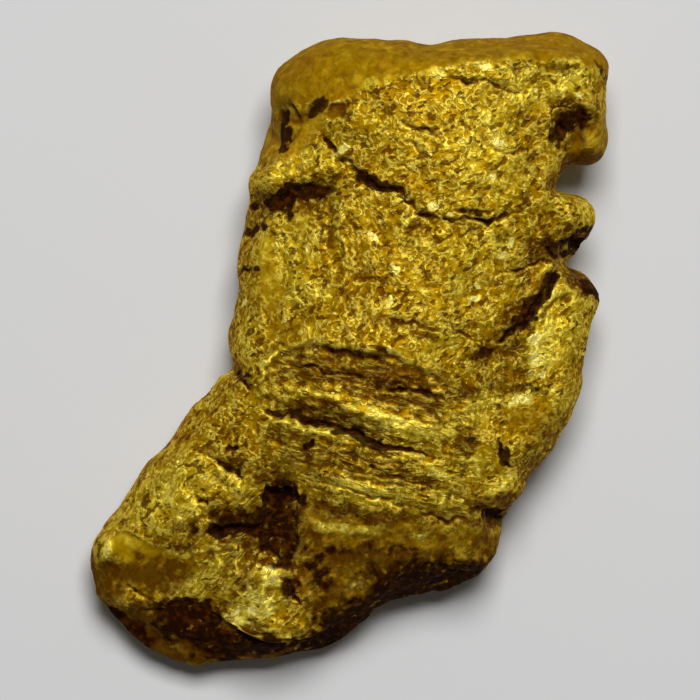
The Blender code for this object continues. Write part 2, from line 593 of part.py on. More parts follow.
def main():
    clear_scene()
    outline = smooth_route(OUTLINE, closed=True)
    nugget = extrude_outline(outline[:-1])
    swell(nugget, outline)
    press_relief(nugget)
    reskin(nugget, FINE_SKIN)
    keep_largest_body(nugget)
    relax(nugget)
    wear_flat(nugget)
    thin_out(nugget)
    level_foot(nugget)
    bring_to_size(nugget)
    nugget.data.shade_smooth()
    give_gold(nugget)


main()
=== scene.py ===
import bmesh
import bpy
import numpy as np
from mathutils import Matrix, Vector, noise


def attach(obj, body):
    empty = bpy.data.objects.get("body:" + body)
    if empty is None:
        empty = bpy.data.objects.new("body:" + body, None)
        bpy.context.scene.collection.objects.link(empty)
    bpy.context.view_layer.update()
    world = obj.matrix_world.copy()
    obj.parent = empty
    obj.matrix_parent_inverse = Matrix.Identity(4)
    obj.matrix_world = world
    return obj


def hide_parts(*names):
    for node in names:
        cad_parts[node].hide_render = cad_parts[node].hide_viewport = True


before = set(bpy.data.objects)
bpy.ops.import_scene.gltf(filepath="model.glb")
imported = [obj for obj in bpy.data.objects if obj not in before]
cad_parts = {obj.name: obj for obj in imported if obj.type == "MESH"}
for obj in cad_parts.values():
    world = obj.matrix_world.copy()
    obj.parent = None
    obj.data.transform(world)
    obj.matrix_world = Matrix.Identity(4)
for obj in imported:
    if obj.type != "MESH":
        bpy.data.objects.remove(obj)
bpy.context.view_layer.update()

# ------------------------------
# The lump: one body of native gold, flattened and folded over in a stream bed. It is worked in
# millimetres as a copy of the solid with an even, close skin, its creases filled so that each
# can be cut again more finely.

MM = 0.001
SAME_PLACE = 1e-7
ROUGH_SKIN = 0.07
SKIN = 0.042
SOFTEN = 0.5
SOFT_ROUNDS = 12
BROAD_ROUNDS = 300
PLAN_HALF = 10.0
CELL = 0.05
LEVEL_REACH = 0.8
NEXT_TO_NOTHING = 1e-9
FLATTEN = 0.95
RAISE = 0.22
FACE_SLOPE = 0.25
SLOPE_RANGE = 0.45
RIM_COVER = 0.55
RIM_RANGE = 0.25
INNER_COVER = 0.8
INNER_RANGE = 0.15
UNDER = -0.3
HOLLOW_FLOOR = 1.3
NOISE_GAIN = 1.6


def set_skin(piece, kind, **settings):
    """Bakes one modifier of the given kind into the piece's mesh."""
    tool = piece.modifiers.new(kind.lower(), kind)
    for name, value in settings.items():
        setattr(tool, name, value)
    evaluated = piece.evaluated_get(bpy.context.evaluated_depsgraph_get())
    mesh = bpy.data.meshes.new_from_object(evaluated)
    piece.modifiers.clear()
    piece.data = mesh


def read_points(mesh):
    points = np.empty(len(mesh.vertices) * 3)
    mesh.vertices.foreach_get("co", points)
    return points.reshape(-1, 3)


def read_normals(mesh):
    normals = np.empty(len(mesh.vertices) * 3)
    mesh.vertex_normals.foreach_get("vector", normals)
    return normals.reshape(-1, 3)


def write_points(mesh, points):
    mesh.vertices.foreach_set("co", points.ravel())
    mesh.update()


def ease(value):
    """Runs smoothly from 0 to 1 as the value does."""
    value = np.clip(value, 0.0, 1.0)
    return value * value * (3.0 - 2.0 * value)


def seen_from_above(points, weight):
    """The face's height over each place, evened out over LEVEL_REACH, and how much of the plan
    within that reach the lump covers: half at its outline, nearly all well inside."""
    cells = np.round((points[:, :2] + PLAN_HALF) / CELL).astype(int)
    span = int(2 * PLAN_HALF / CELL)
    total = np.zeros((3, span, span))
    np.add.at(total[0], (cells[:, 0], cells[:, 1]), weight * points[:, 2])
    np.add.at(total[1], (cells[:, 0], cells[:, 1]), weight)
    reach = np.arange(-3 * LEVEL_REACH, 3 * LEVEL_REACH + CELL, CELL)
    spread = np.exp(-0.5 * (reach / LEVEL_REACH) ** 2)
    spread /= spread.sum()
    total[2] = total[1] > 0.0
    for axis in (1, 2):
        total = np.apply_along_axis(np.convolve, axis, total, spread, "same")
    height = total[0] / np.maximum(total[1], NEXT_TO_NOTHING)
    return height[cells[:, 0], cells[:, 1]], total[2][cells[:, 0], cells[:, 1]]


lump = bmesh.new()
lump.from_mesh(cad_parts["nugget"].data)
bmesh.ops.remove_doubles(lump, verts=lump.verts, dist=SAME_PLACE)
bmesh.ops.scale(lump, vec=(1 / MM, 1 / MM, 1 / MM), verts=lump.verts)
skin = bpy.data.meshes.new("gold_nugget")
lump.to_mesh(skin)
lump.free()
nugget = bpy.data.objects.new("gold_nugget", skin)
bpy.context.scene.collection.objects.link(nugget)


def find_broad_normals(piece):
    """Which way the piece's broad form points at each place."""
    close_skin = piece.data
    set_skin(piece, "SMOOTH", factor=SOFTEN, iterations=BROAD_ROUNDS)
    directions = read_normals(piece.data)
    piece.data = close_skin
    return directions


for skin_size, rise in ((ROUGH_SKIN, RAISE), (SKIN, 0.0)):
    set_skin(nugget, "REMESH", mode="VOXEL", voxel_size=skin_size)
    set_skin(nugget, "SMOOTH", factor=SOFTEN, iterations=SOFT_ROUNDS)
    broad_normals = find_broad_normals(nugget)
    points = read_points(nugget.data)
    face = ease((broad_normals[:, 2] - FACE_SLOPE) / SLOPE_RANGE)
    level, cover = seen_from_above(points, face)
    inner = ease((cover - INNER_COVER) / INNER_RANGE) * (points[:, 2] > HOLLOW_FLOOR)
    face = np.maximum(face, inner * (broad_normals[:, 2] > UNDER))
    flat = FLATTEN * face * ease((cover - RIM_COVER) / RIM_RANGE)
    points[:, 2] += flat * (level + rise - points[:, 2])
    write_points(nugget.data, points)
set_skin(nugget, "SMOOTH", factor=SOFTEN, iterations=SOFT_ROUNDS)
points = read_points(nugget.data)
normals = read_normals(nugget.data)


def field(size, shift=0.0, stretch=1.0, turn=0.0):
    """Smooth noise over the skin, about -1 to 1, in lumps of a size in millimetres. Stretch draws
    the lumps out along the direction turned by that many degrees from +X."""
    cos, sin = np.cos(np.radians(turn)), np.sin(np.radians(turn))
    along = (points[:, 0] * cos + points[:, 1] * sin) / (size * stretch)
    across = (points[:, 1] * cos - points[:, 0] * sin) / size
    up = points[:, 2] / size
    spots = np.stack((along, across, up), axis=1) + shift
    return np.array([noise.noise(spot) for spot in spots.tolist()]) * NOISE_GAIN


wander = np.zeros((len(points), 2))
for size, reach, shifts in ((0.5, 0.08, (3.1, 9.7)), (0.2, 0.045, (4.3, 8.9))):
    wander += reach * np.stack([field(size, shift) for shift in shifts], axis=1)
plan = points[:, :2] + wander
ragged = field(0.22, 21.0)
torn = field(0.34, 23.0)
# Layers on the face: dirt and stain, which also hold painted shade, painted highlight, smoothness.
lift, dirt_and_painted_shade, stain_and_painted_shade, painted_highlight, smoothness = np.zeros((5, len(points)))

# ------------------------------
# Rolled end: the top edge was rolled over by tumbling and burnished smooth. Its crest runs
# across the lump, and two torn pits and a shallow oval one lie under its left end.

ROUTE_STEP = 0.09
PINCH = 0.6
GAP_SHARPNESS = 3
GAP_MARGIN = 0.05
RAGGED_SIDES = 0.45
RAGGED_FLOOR = 0.3
RAGGED_CREST = 0.25
FULL_DARKENING_DEPTH = 0.14
UNDARKENED_DEPTH = 0.1
DARKENING_RANGE = 0.15
SMEAR_EDGE = 1.2
SMEAR_RAG = 1.6
EVERYWHERE = slice(None)


def smooth_route(places):
    """Points at an even step along the smooth curve through the given places."""
    places = [np.array(place, dtype=float) for place in places]
    ends = [2 * places[0] - places[1]] + places + [2 * places[-1] - places[-2]]
    line = []
    for before, start, end, after in zip(ends, ends[1:], ends[2:], ends[3:]):
        count = max(1, int(np.ceil(np.linalg.norm(end - start) / ROUTE_STEP)))
        for t in np.arange(count) / count:
            line.append(0.5 * (2 * start + (end - before) * t
                               + (2 * before - 5 * start + 4 * end - after) * t ** 2
                               + (3 * start - before - 3 * end + after) * t ** 3))
    line.append(places[-1])
    return np.array(line)


def follow(route, reach):
    """The face's places within reach of a route: which they are, how far each is to the left of
    it (less than 0 to the right), and its share of the way along."""
    line = smooth_route(route)
    inside = (plan > line.min(axis=0) - reach) & (plan < line.max(axis=0) + reach)
    near = np.flatnonzero(inside.all(axis=1) & (face > 0.0))
    spots = plan[near]
    best = np.full(len(near), np.inf)
    side = np.zeros(len(near))
    along = np.zeros(len(near))
    lengths = np.linalg.norm(np.diff(line, axis=0), axis=1)
    starts = np.concatenate(([0.0], np.cumsum(lengths)))
    for number, length in enumerate(lengths):
        start = line[number]
        way = (line[number + 1] - start) / length
        offset = spots - start
        share = np.clip(offset @ way, 0.0, length)
        distance = np.linalg.norm(offset - share[:, None] * way, axis=1)
        closer = distance < best
        best[closer] = distance[closer]
        left = way[0] * offset[:, 1] - way[1] * offset[:, 0]
        side[closer] = np.where(left >= 0, distance, -distance)[closer]
        along[closer] = ((starts[number] + share) / starts[-1])[closer]
    keep = best < reach
    return near[keep], side[keep], along[keep]


def pinch(along):
    """1 in the middle of a route and 0 at its ends."""
    return np.clip(4.0 * along * (1.0 - along), 0.0, 1.0) ** PINCH


def mark(layer, near, amount):
    """Raises a layer to the amount at those places: dirt and painted shade, stain and painted
    shade, painted highlight or smoothness.
    """
    layer[near] = np.maximum(layer[near], amount)


def crack(depth, half_width, route, rag=1.0):
    """A narrow steep-sided gap that pinches out at its ends, darkened by its depth with dirt
    and painted shade.
    """
    near, side, along = follow(route, 3.0 * half_width + GAP_MARGIN)
    width = half_width * (0.5 + 0.5 * pinch(along)) * (1.0 + RAGGED_SIDES * rag * ragged[near])
    gap = pinch(along) * np.exp(-np.abs(side / width) ** GAP_SHARPNESS) * face[near]
    lift[near] -= depth * (1.0 + RAGGED_FLOOR * rag * ragged[near]) * gap
    mark(dirt_and_painted_shade, near, gap * min(1.0, depth / FULL_DARKENING_DEPTH))


def ridge(height, left, right, route):
    """A crest, or a valley where the height is below 0, that fades over a width on each side."""
    near, side, along = follow(route, 2.6 * max(left, right))
    width = np.where(side > 0, left, right)
    swell = np.exp(-(side / width) ** 2)
    lift[near] += height * pinch(along) * (1.0 + RAGGED_CREST * ragged[near]) * swell * face[near]


def step(height, edge, reach, route):
    """A fold's edge: the left side stands higher than the right, and both level out in reach."""
    near, side, along = follow(route, reach)
    fade = ease(1.0 - np.abs(side) / reach)
    rise = ease(0.5 + 0.5 * side / edge) - 0.5
    lift[near] += height * pinch(along) * rise * fade * face[near]


def blotch(x, y, half_length, half_width, turn, edge, rag=1.0):
    """The face's places in a ragged oval, and how far each lies inside it, 0 to 1."""
    reach = 1.9 * max(half_length, half_width)
    offset = plan - (x, y)
    near = np.flatnonzero((np.abs(offset) < reach).all(axis=1) & (broad_normals[:, 2] > UNDER))
    cos, sin = np.cos(np.radians(turn)), np.sin(np.radians(turn))
    along = (offset[near, 0] * cos + offset[near, 1] * sin) / half_length
    across = (offset[near, 1] * cos - offset[near, 0] * sin) / half_width
    spread = np.hypot(along, across) + rag * (0.15 * ragged[near] + 0.2 * torn[near])
    return near, ease((1.0 - spread) / edge + 0.5)


def pit(depth, x, y, half_length, half_width, turn=0.0, wall=0.5, soil_and_shade=None):
    """A ragged hollow, or a knob where the depth is below 0. A wall near 0 is steep. A deep
    hollow is darkened with dirt and painted shade, by the given amount or else by its depth.
    """
    near, inside = blotch(x, y, half_length, half_width, turn, wall)
    lift[near] -= depth * inside * face[near]
    if soil_and_shade is None:
        soil_and_shade = min(1.0, max(0.0, depth - UNDARKENED_DEPTH) / DARKENING_RANGE)
    mark(dirt_and_painted_shade, near, soil_and_shade * inside)


def smear(layer, amount, x, y, half_length, half_width, turn=0.0, edge=SMEAR_EDGE):
    """A mark of one layer in a soft ragged oval: dirt and painted shade, stain and painted shade,
    painted highlight or smoothness.
    """
    near, inside = blotch(x, y, half_length, half_width, turn, edge, SMEAR_RAG)
    mark(layer, near, amount * inside)


def smears(layer, *spots):
    """Smears of one layer, each as an amount, a place, half its length and half its width, and
    where it needs them a turn and an edge."""
    for spot in spots:
        smear(layer, *spot)


def painted_glint(x, y, half_length, half_width, turn=0.0):
    """A painted glint: a small, strong mark of painted highlight where a clean flat of bare
    gold flashes in the light.
    """
    smear(painted_highlight, 5.0, x, y, half_length, half_width, turn, 0.6)


def painted_glints(*flats):
    for flat in flats:
        painted_glint(*flat)


def band(layer, amount, half_width, route):
    """A mark of one layer along a route, soft and ragged at its sides: dirt and painted shade,
    stain and painted shade, or painted highlight.
    """
    near, side, along = follow(route, 2.4 * half_width)
    spread = np.abs(side) / half_width * (1.0 + 0.3 * torn[near]) + 0.4 * ragged[near]
    mark(layer, near, amount * pinch(along) * ease(1.5 - spread))


def bands(layer, *strips):
    """Bands of one layer, each as an amount, half its width and its route."""
    for strip in strips:
        band(layer, *strip)


def patch(outline, edge):
    """How far each place of the face lies inside a closed outline, 0 to 1, softened at its edge."""
    corners = np.array(outline, dtype=float)
    inside = np.zeros(len(plan), dtype=bool)
    nearest = np.full(len(plan), np.inf)
    for start, end in zip(corners, np.roll(corners, -1, axis=0)):
        run = end - start
        offset = plan - start
        share = np.clip(offset @ run / (run @ run), 0.0, 1.0)
        nearest = np.minimum(nearest, np.linalg.norm(offset - share[:, None] * run, axis=1))
        crosses = (start[1] > plan[:, 1]) != (end[1] > plan[:, 1])
        rise = np.where(run[1] == 0.0, 1.0, run[1])
        inside ^= crosses & (plan[:, 0] < start[0] + run[0] * offset[:, 1] / rise)
    signed = np.where(inside, nearest, -nearest)
    return ease(0.5 + 0.5 * signed / edge) * (broad_normals[:, 2] > UNDER)


def tint(layer, amount, outline, edge):
    """An even amount of one layer all over a closed outline."""
    mark(layer, EVERYWHERE, amount * patch(outline, edge))


ROLL_EDGE = [(-2.6, 5.9), (-2.15, 6.02), (-1.45, 6.12), (-0.65, 6.1), (0.0, 6.25), (0.85, 6.7),
             (1.35, 6.78), (1.85, 6.95), (2.6, 7.08), (3.2, 7.12), (3.85, 7.16), (4.45, 7.2), (5.2, 7.25),
             (5.7, 7.08), (6.5, 6.9)]
rolled = patch(ROLL_EDGE + [(7.0, 8.4), (-3.4, 8.4)], 0.12)
mark(smoothness, EVERYWHERE, 0.9 * rolled)
ridge(0.05, 0.35, 0.2, ROLL_EDGE)
crack(0.08, 0.05, [(2.38, 6.75), (2.8, 6.7), (3.38, 6.7), (3.62, 6.62), (3.83, 6.47), (4.05, 6.42),
                   (4.25, 6.4)])
ridge(0.05, 0.12, 0.08, [(2.4, 6.85), (3.0, 6.83), (3.55, 6.83), (3.95, 6.65), (4.4, 6.58)])
crack(0.1, 0.05, [(5.95, 7.25), (6.15, 7.0), (6.33, 6.8)])
# Painted shade: the stain layer darkens the whole rolled end a little.
mark(stain_and_painted_shade, EVERYWHERE, 0.3 * rolled)
# Painted highlights and glints lie along and below the crest; a slit at the right end is darkened with dirt
# and painted shade.
band(painted_highlight, 0.8, 0.05, [(-0.12, 6.22), (0.25, 6.45), (0.62, 6.62), (1.25, 6.83)])
smear(dirt_and_painted_shade, 0.7, 6.25, 6.92, 0.2, 0.09, -60)
smears(painted_highlight, (1.0, 3.33, 7.03, 0.45, 0.1, -8), (0.9, 4.5, 6.97, 0.35, 0.12, -10),
       (0.8, 5.15, 7.2, 0.2, 0.09), (1.4, 2.1, 6.85, 0.25, 0.12), (0.8, 5.7, 6.4, 0.22, 0.1, 20),
       (0.7, 4.45, 6.38, 0.2, 0.1, 10))
painted_glints((3.4, 6.98, 0.14, 0.07, 10), (5.68, 6.34, 0.13, 0.07, 5))

crack(0.09, 0.14, [(-1.65, 6.2), (-1.62, 5.9), (-1.57, 5.55), (-1.7, 5.25), (-1.95, 5.17)])
crack(0.07, 0.07, [(-1.55, 5.72), (-1.32, 5.6), (-1.12, 5.65)])
crack(0.08, 0.11, [(-0.68, 6.15), (-0.88, 5.97), (-1.07, 5.78), (-1.3, 5.62)])
pit(0.05, -0.32, 5.88, 0.3, 0.16, -4, 0.3, 0.0)
# The torn pits are darkened with dirt, stain and painted shade, with a painted highlight beside them.
band(stain_and_painted_shade, 0.55, 0.3, [(-1.95, 6.15), (-1.7, 5.7), (-1.75, 5.2)])
smears(dirt_and_painted_shade, (1.7, -1.6, 5.45, 0.42, 0.15, 88, 1.4), (1.6, -0.82, 6.02, 0.28, 0.15, 52, 1.4))
smears(stain_and_painted_shade, (0.6, -1.32, 5.78, 0.3, 0.2, 20), (0.55, -0.32, 5.88, 0.29, 0.15, -4, 0.3))
smear(painted_highlight, 0.35, -1.32, 6.0, 0.2, 0.12, 10)
smear(smoothness, 1.0, -0.32, 5.88, 0.3, 0.17, -4, 0.3)
tint(smoothness, 0.8, [(-2.6, 6.0), (-0.5, 6.1), (-0.8, 5.3), (-1.1, 4.95), (-2.3, 4.7)], 0.15)

# ------------------------------
# Upper fold: a tongue of metal pressed down over the lump, its lower lip meeting the flank in a
# long broken crease. Hair cracks cross it, and a pocket is torn out at its right.

FOLD_CREASE = [(-0.5, 5.3), (-0.3, 5.0), (0.05, 4.6), (0.28, 4.25), (0.75, 4.1), (1.05, 4.05), (1.4, 3.8),
               (1.65, 3.5), (2.1, 3.3), (2.6, 3.25), (3.2, 3.25), (3.65, 3.2), (3.95, 3.38), (4.5, 3.7)]
step(0.07, 0.1, 0.7, FOLD_CREASE)
crack(0.012, 0.03, FOLD_CREASE, 1.6)
crack(0.07, 0.06, [(-0.6, 5.28), (-0.43, 5.12), (-0.28, 4.92)])
crack(0.04, 0.035, [(-0.12, 4.8), (0.07, 4.58), (0.2, 4.42)])
crack(0.15, 0.1, [(0.0, 4.55), (0.35, 4.28), (0.75, 4.1), (1.15, 4.0), (1.4, 3.9)])
crack(0.09, 0.05, [(1.12, 4.0), (1.33, 3.92), (1.5, 3.72), (1.7, 3.48)])
crack(0.1, 0.06, [(1.6, 3.42), (1.88, 3.32), (2.2, 3.3)])
crack(0.08, 0.05, [(2.3, 3.28), (2.5, 3.22), (2.75, 3.2)])
crack(0.1, 0.05, [(2.65, 3.52), (2.9, 3.42), (3.2, 3.45), (3.6, 3.38)])
crack(0.12, 0.06, [(2.8, 3.3), (3.2, 3.27), (3.55, 3.2), (3.88, 3.35), (4.05, 3.45)])
LIP = [(1.2, 2.8), (1.3, 3.05), (1.48, 3.23), (1.68, 3.38)]
ridge(0.05, 0.07, 0.07, LIP)
# The crease under the fold's lip is darkened with dirt, stain and painted shade, and the lip carries a
# painted highlight.
bands(dirt_and_painted_shade, (0.5, 0.09, [(-0.55, 5.2), (-0.3, 4.92), (-0.05, 4.7), (0.2, 4.42)]),
      (0.5, 0.09, [(1.6, 3.42), (2.1, 3.35), (2.75, 3.25), (3.6, 3.3)]))
band(painted_highlight, 0.7, 0.05, LIP)
smears(dirt_and_painted_shade, (1.5, 0.78, 4.1, 0.52, 0.13, -14), (0.6, 3.15, 3.42, 0.35, 0.1),
       (0.7, -0.5, 5.17, 0.18, 0.12, -60))
smears(stain_and_painted_shade, (0.7, 0.55, 4.25, 0.4, 0.15, -15), (0.7, 2.17, 3.4, 0.45, 0.12, -5),
       (0.5, 0.05, 4.75, 0.35, 0.2, -30), (0.5, -0.12, 4.35, 0.4, 0.14, -20),
       (0.4, -0.7, 4.45, 0.25, 0.12, 20), (0.6, 1.55, 3.05, 0.22, 0.15), (0.8, 0.17, 3.05, 0.22, 0.12, -30))

crack(0.06, 0.04, [(1.3, 5.72), (1.62, 5.55), (1.88, 5.45), (2.27, 5.22)], 0.5)
crack(0.06, 0.04, [(1.35, 5.17), (1.55, 5.08), (1.68, 4.85)], 0.5)
crack(0.05, 0.04, [(1.05, 4.62), (1.38, 4.58), (1.65, 4.45)])
crack(0.08, 0.04, [(3.62, 4.97), (3.88, 4.9), (4.2, 4.97), (4.4, 5.1)], 0.5)
# A band of stain with painted shade, then painted highlights and glints over the fold's face.
band(stain_and_painted_shade, 0.5, 0.12, [(3.7, 5.83), (4.12, 5.75), (4.55, 5.72), (5.0, 5.7)])
smears(painted_highlight, (1.0, 0.55, 6.7, 0.2, 0.06, 25), (0.8, 2.25, 3.95, 0.1, 0.25, 10),
       (0.8, 3.55, 4.3, 0.2, 0.14, 20), (0.8, 3.75, 5.25, 0.14, 0.25, 20), (0.7, 3.12, 4.75, 0.3, 0.3, 20),
       (0.6, 2.5, 5.0, 0.3, 0.35, 40), (0.5, 3.75, 4.0, 0.4, 0.3), (0.6, 4.3, 6.4, 0.9, 0.45),
       (0.9, 5.5, 6.7, 0.6, 0.4), (0.6, 3.3, 5.3, 1.3, 0.9, 60), (0.5, 3.4, 4.2, 0.9, 0.6, 20))
painted_glints((2.05, 3.52, 0.09, 0.08, 30), (2.57, 3.4, 0.06, 0.06), (3.68, 5.15, 0.06, 0.09, 20),
       (3.5, 4.35, 0.06, 0.06), (2.2, 4.0, 0.05, 0.07), (-0.15, 5.05, 0.09, 0.07, 40),
       (0.55, 2.85, 0.08, 0.11))

pit(0.08, 5.47, 5.75, 0.55, 0.42, 20, 1.2, 0.0)
pit(0.16, 5.15, 5.45, 0.2, 0.36, 15, 1.2, 1.2)
pit(0.05, 5.58, 5.75, 0.3, 0.17, 25, 1.3, 0.6)
ridge(0.06, 0.14, 0.07, [(4.9, 6.0), (4.9, 5.7), (5.0, 5.35), (5.12, 5.05), (5.15, 4.75)])
# Painted shade with dirt and stain fills the pocket, and a painted highlight lies at its right.
smears(dirt_and_painted_shade, (1.0, 5.55, 5.78, 0.42, 0.22, 20, 1.6), (1.3, 5.12, 5.42, 0.2, 0.36, 15, 1.5))
smears(stain_and_painted_shade, (0.9, 5.42, 5.9, 0.5, 0.24, 10), (0.9, 5.55, 5.75, 0.6, 0.4, 20, 1.8),
       (0.7, 5.55, 5.25, 0.35, 0.25, 20))
smear(painted_highlight, 0.6, 6.0, 5.83, 0.12, 0.1)
tint(smoothness, 0.65, [(5.5, 5.5), (6.6, 6.1), (6.5, 4.6), (5.3, 4.6), (5.35, 5.0)], 0.2)

# ------------------------------
# Left ridge: the thin left edge of the lump, bent up and folded in over a deep shaded hollow.
# The hollow, a small pit and a crack below it are darkened with painted shade and dirt.

ridge(0.11, 0.3, 0.2, [(-0.3, 4.62), (-0.75, 4.5), (-1.25, 4.3), (-1.75, 4.15), (-2.3, 3.8)])
ridge(-0.2, 0.16, 0.34, [(-2.35, 3.6), (-1.95, 3.75), (-1.5, 3.9), (-1.05, 4.0), (-0.7, 3.98),
                         (-0.3, 3.95)])
pit(0.1, -2.4, 2.98, 0.3, 0.15, 15, 1.0, 1.0)
crack(0.06, 0.04, [(-2.7, 1.98), (-2.5, 2.0), (-2.25, 2.1)])
# Painted shade with dirt and stain fills the hollow under the ridge; painted highlights lie along the ridge
# and a painted glint lower down.
bands(dirt_and_painted_shade, (0.6, 0.05, [(-2.0, 4.0), (-1.7, 4.08), (-1.4, 4.12)]),
      (0.55, 0.07, [(-0.4, 3.95), (0.0, 4.1), (0.35, 4.12)]))
smears(dirt_and_painted_shade, (1.4, -1.05, 4.04, 0.4, 0.14, 8), (1.3, -1.55, 3.98, 0.5, 0.14, 20),
       (1.5, -1.48, 3.83, 0.75, 0.17, 18), (1.5, -0.85, 3.98, 0.38, 0.16, -8),
       (0.9, -1.48, 3.55, 0.14, 0.24, 10), (0.9, -1.65, 3.6, 0.2, 0.15), (0.8, -2.15, 3.08, 0.16, 0.1),
       (0.85, -2.5, 2.0, 0.24, 0.08, 5))
smears(stain_and_painted_shade, (0.7, -1.25, 3.67, 0.9, 0.28, 10), (0.6, -2.2, 3.4, 0.35, 0.3, 20))
smears(painted_highlight, (0.9, -1.1, 4.85, 0.14, 0.1, 10), (0.8, -0.8, 4.92, 0.16, 0.1, 10),
       (0.7, -1.68, 4.35, 0.3, 0.12, 25), (0.7, -2.2, 3.9, 0.22, 0.1, 30), (0.6, -1.25, 4.6, 0.5, 0.14, 20))
painted_glint(-2.62, 1.18, 0.08, 0.08)

# ------------------------------
# Middle panel: the broad worn flank under the fold, all etched grain. Long shallow flutes run
# down its left side, and hair cracks cross its foot above the belt.

ridge(-0.05, 0.15, 0.1, [(-0.47, 3.6), (-0.5, 3.0), (-0.4, 2.38), (-0.25, 1.62)])
ridge(0.05, 0.1, 0.05, [(-0.3, 3.67), (-0.25, 3.25), (-0.23, 2.88), (-0.1, 2.38), (0.05, 2.2)])
crack(0.05, 0.04, [(0.9, 0.78), (1.25, 0.7), (1.6, 0.65), (2.0, 0.55), (2.33, 0.4)])
crack(0.06, 0.04, [(2.2, 0.7), (2.6, 0.5), (3.0, 0.3), (3.25, 0.15)])
# Stain with painted shade along the flutes and the foot's cracks; painted highlights along the flute edges
# and over the panel, with painted glints.
bands(stain_and_painted_shade, (0.6, 0.06, [(-1.1, 2.8), (-1.05, 2.3), (-1.0, 1.7)]),
      (0.5, 0.12, [(-0.47, 3.55), (-0.5, 3.0), (-0.42, 2.5)]),
      (0.6, 0.1, [(0.95, 0.62), (1.5, 0.47), (2.0, 0.3), (2.35, 0.2)]),
      (0.6, 0.07, [(2.15, 0.7), (2.55, 0.53), (2.95, 0.3), (3.2, 0.17)]),
      (0.8, 0.12, [(0.4, 0.8), (1.0, 0.72), (1.6, 0.6), (2.2, 0.45)]))
bands(painted_highlight, (0.6, 0.05, [(-0.3, 3.62), (-0.25, 3.25), (-0.23, 2.85)]),
      (0.6, 0.05, [(-0.15, 2.62), (-0.05, 2.38), (0.12, 2.25)]),
      (1.0, 0.05, [(-1.27, 3.2), (-0.95, 3.0), (-0.8, 2.62), (-0.72, 2.05)]),
      (0.9, 0.05, [(-1.35, 2.9), (-1.3, 2.4), (-1.35, 1.8)]),
      (1.0, 0.05, [(-2.2, 2.95), (-2.08, 2.62), (-2.15, 2.3)]))
smears(stain_and_painted_shade, (0.25, -1.95, 1.5, 0.3, 1.0, 5), (0.5, 0.25, 1.93, 0.45, 0.22, -10),
       (0.5, -0.12, 1.5, 0.2, 0.5, 10), (0.35, 0.5, 1.4, 0.6, 0.4, -20), (0.35, 1.5, 2.9, 0.6, 0.3, 30),
       (0.7, 0.9, 0.62, 0.45, 0.22, -10))
smears(painted_highlight, (0.6, -1.5, 2.3, 0.7, 1.3, 5), (1.0, 0.97, 1.2, 0.2, 0.15, -40),
       (1.0, -1.0, 0.47, 0.22, 0.16, 10), (0.9, -0.82, 0.12, 0.1, 0.16, -20),
       (0.8, 2.05, 0.05, 0.35, 0.28, 20), (0.9, 3.85, 2.33, 0.12, 0.07), (0.8, 2.58, 2.33, 0.12, 0.3, 20),
       (0.6, 1.88, 1.25, 0.3, 0.3), (0.5, 3.5, 2.75, 0.3, 0.3), (0.6, 2.75, 1.5, 0.25, 0.25),
       (0.6, -2.55, 0.5, 0.2, 0.8, 5), (0.5, -0.75, 1.5, 0.6, 0.3, 10), (0.5, 3.0, 2.1, 0.9, 0.6, 60),
       (0.7, 2.4, 0.4, 0.5, 0.3, -20))
smears(smoothness, (0.6, -1.95, 1.5, 0.28, 1.1, 5), (0.5, -1.25, 3.12, 0.3, 0.4))
painted_glints((1.2, 1.98, 0.07, 0.08, -20), (1.12, 2.12, 0.05, 0.05), (1.0, 1.3, 0.05, 0.07),
       (1.06, -0.05, 0.06, 0.09, 10), (3.15, 1.5, 0.06, 0.09, 5), (3.1, 1.22, 0.09, 0.07, 5),
       (3.97, 2.66, 0.08, 0.1), (3.78, 2.35, 0.08, 0.05))

# ------------------------------
# Knob, crevice and flap: a round knob stands over a shaded pocket, and below it a flap of metal
# is bent up against the lump along a deep crevice.

ridge(0.08, 0.14, 0.14, [(5.55, 3.85), (5.85, 3.65), (5.97, 3.35), (5.83, 3.05)])
pit(0.1, 5.5, 2.6, 0.34, 0.26, 20, 1.2, 0.8)
crack(0.14, 0.08, [(4.78, 2.67), (4.92, 2.5), (5.15, 2.35), (5.3, 2.3)])
crack(0.09, 0.05, [(3.73, 1.93), (4.12, 2.02), (4.5, 2.12), (4.95, 2.27)])
# Painted shade with dirt and stain in the pocket under the knob, and a painted highlight on its rim.
smears(dirt_and_painted_shade, (1.0, 5.5, 2.6, 0.36, 0.3, 10), (0.8, 5.8, 3.0, 0.2, 0.13, 20), (0.75, 4.95, 2.65, 0.25, 0.25))
smears(stain_and_painted_shade, (0.3, 5.03, 3.3, 0.3, 0.5), (0.5, 5.5, 3.12, 0.4, 0.12, 20), (1.0, 4.85, 2.55, 0.5, 0.35, 20),
       (0.5, 4.25, 2.2, 0.6, 0.12, 12))
smears(painted_highlight, (0.9, 5.83, 3.45, 0.14, 0.28, 5), (0.6, 5.1, 3.7, 0.4, 0.25))

crack(0.26, 0.1, [(5.17, 2.2), (5.1, 1.88), (5.03, 1.55), (4.8, 1.32)])
crack(0.16, 0.06, [(4.9, 1.57), (4.67, 1.25), (4.45, 1.0), (4.28, 0.7), (4.28, 0.45)])
crack(0.14, 0.07, [(4.33, 0.75), (4.08, 0.53), (3.85, 0.33), (3.6, 0.2)])
crack(0.08, 0.06, [(5.55, 1.73), (5.75, 1.55), (6.0, 1.4), (6.3, 1.2)])
ridge(0.07, 0.05, 0.3, [(5.25, 2.1), (5.55, 1.75), (5.4, 1.45), (4.88, 1.1), (4.5, 0.8), (4.45, 0.38),
                        (4.53, -0.25)])
crack(0.12, 0.06, [(3.65, -2.2), (3.7, -2.5), (3.85, -2.75), (4.1, -2.85)])
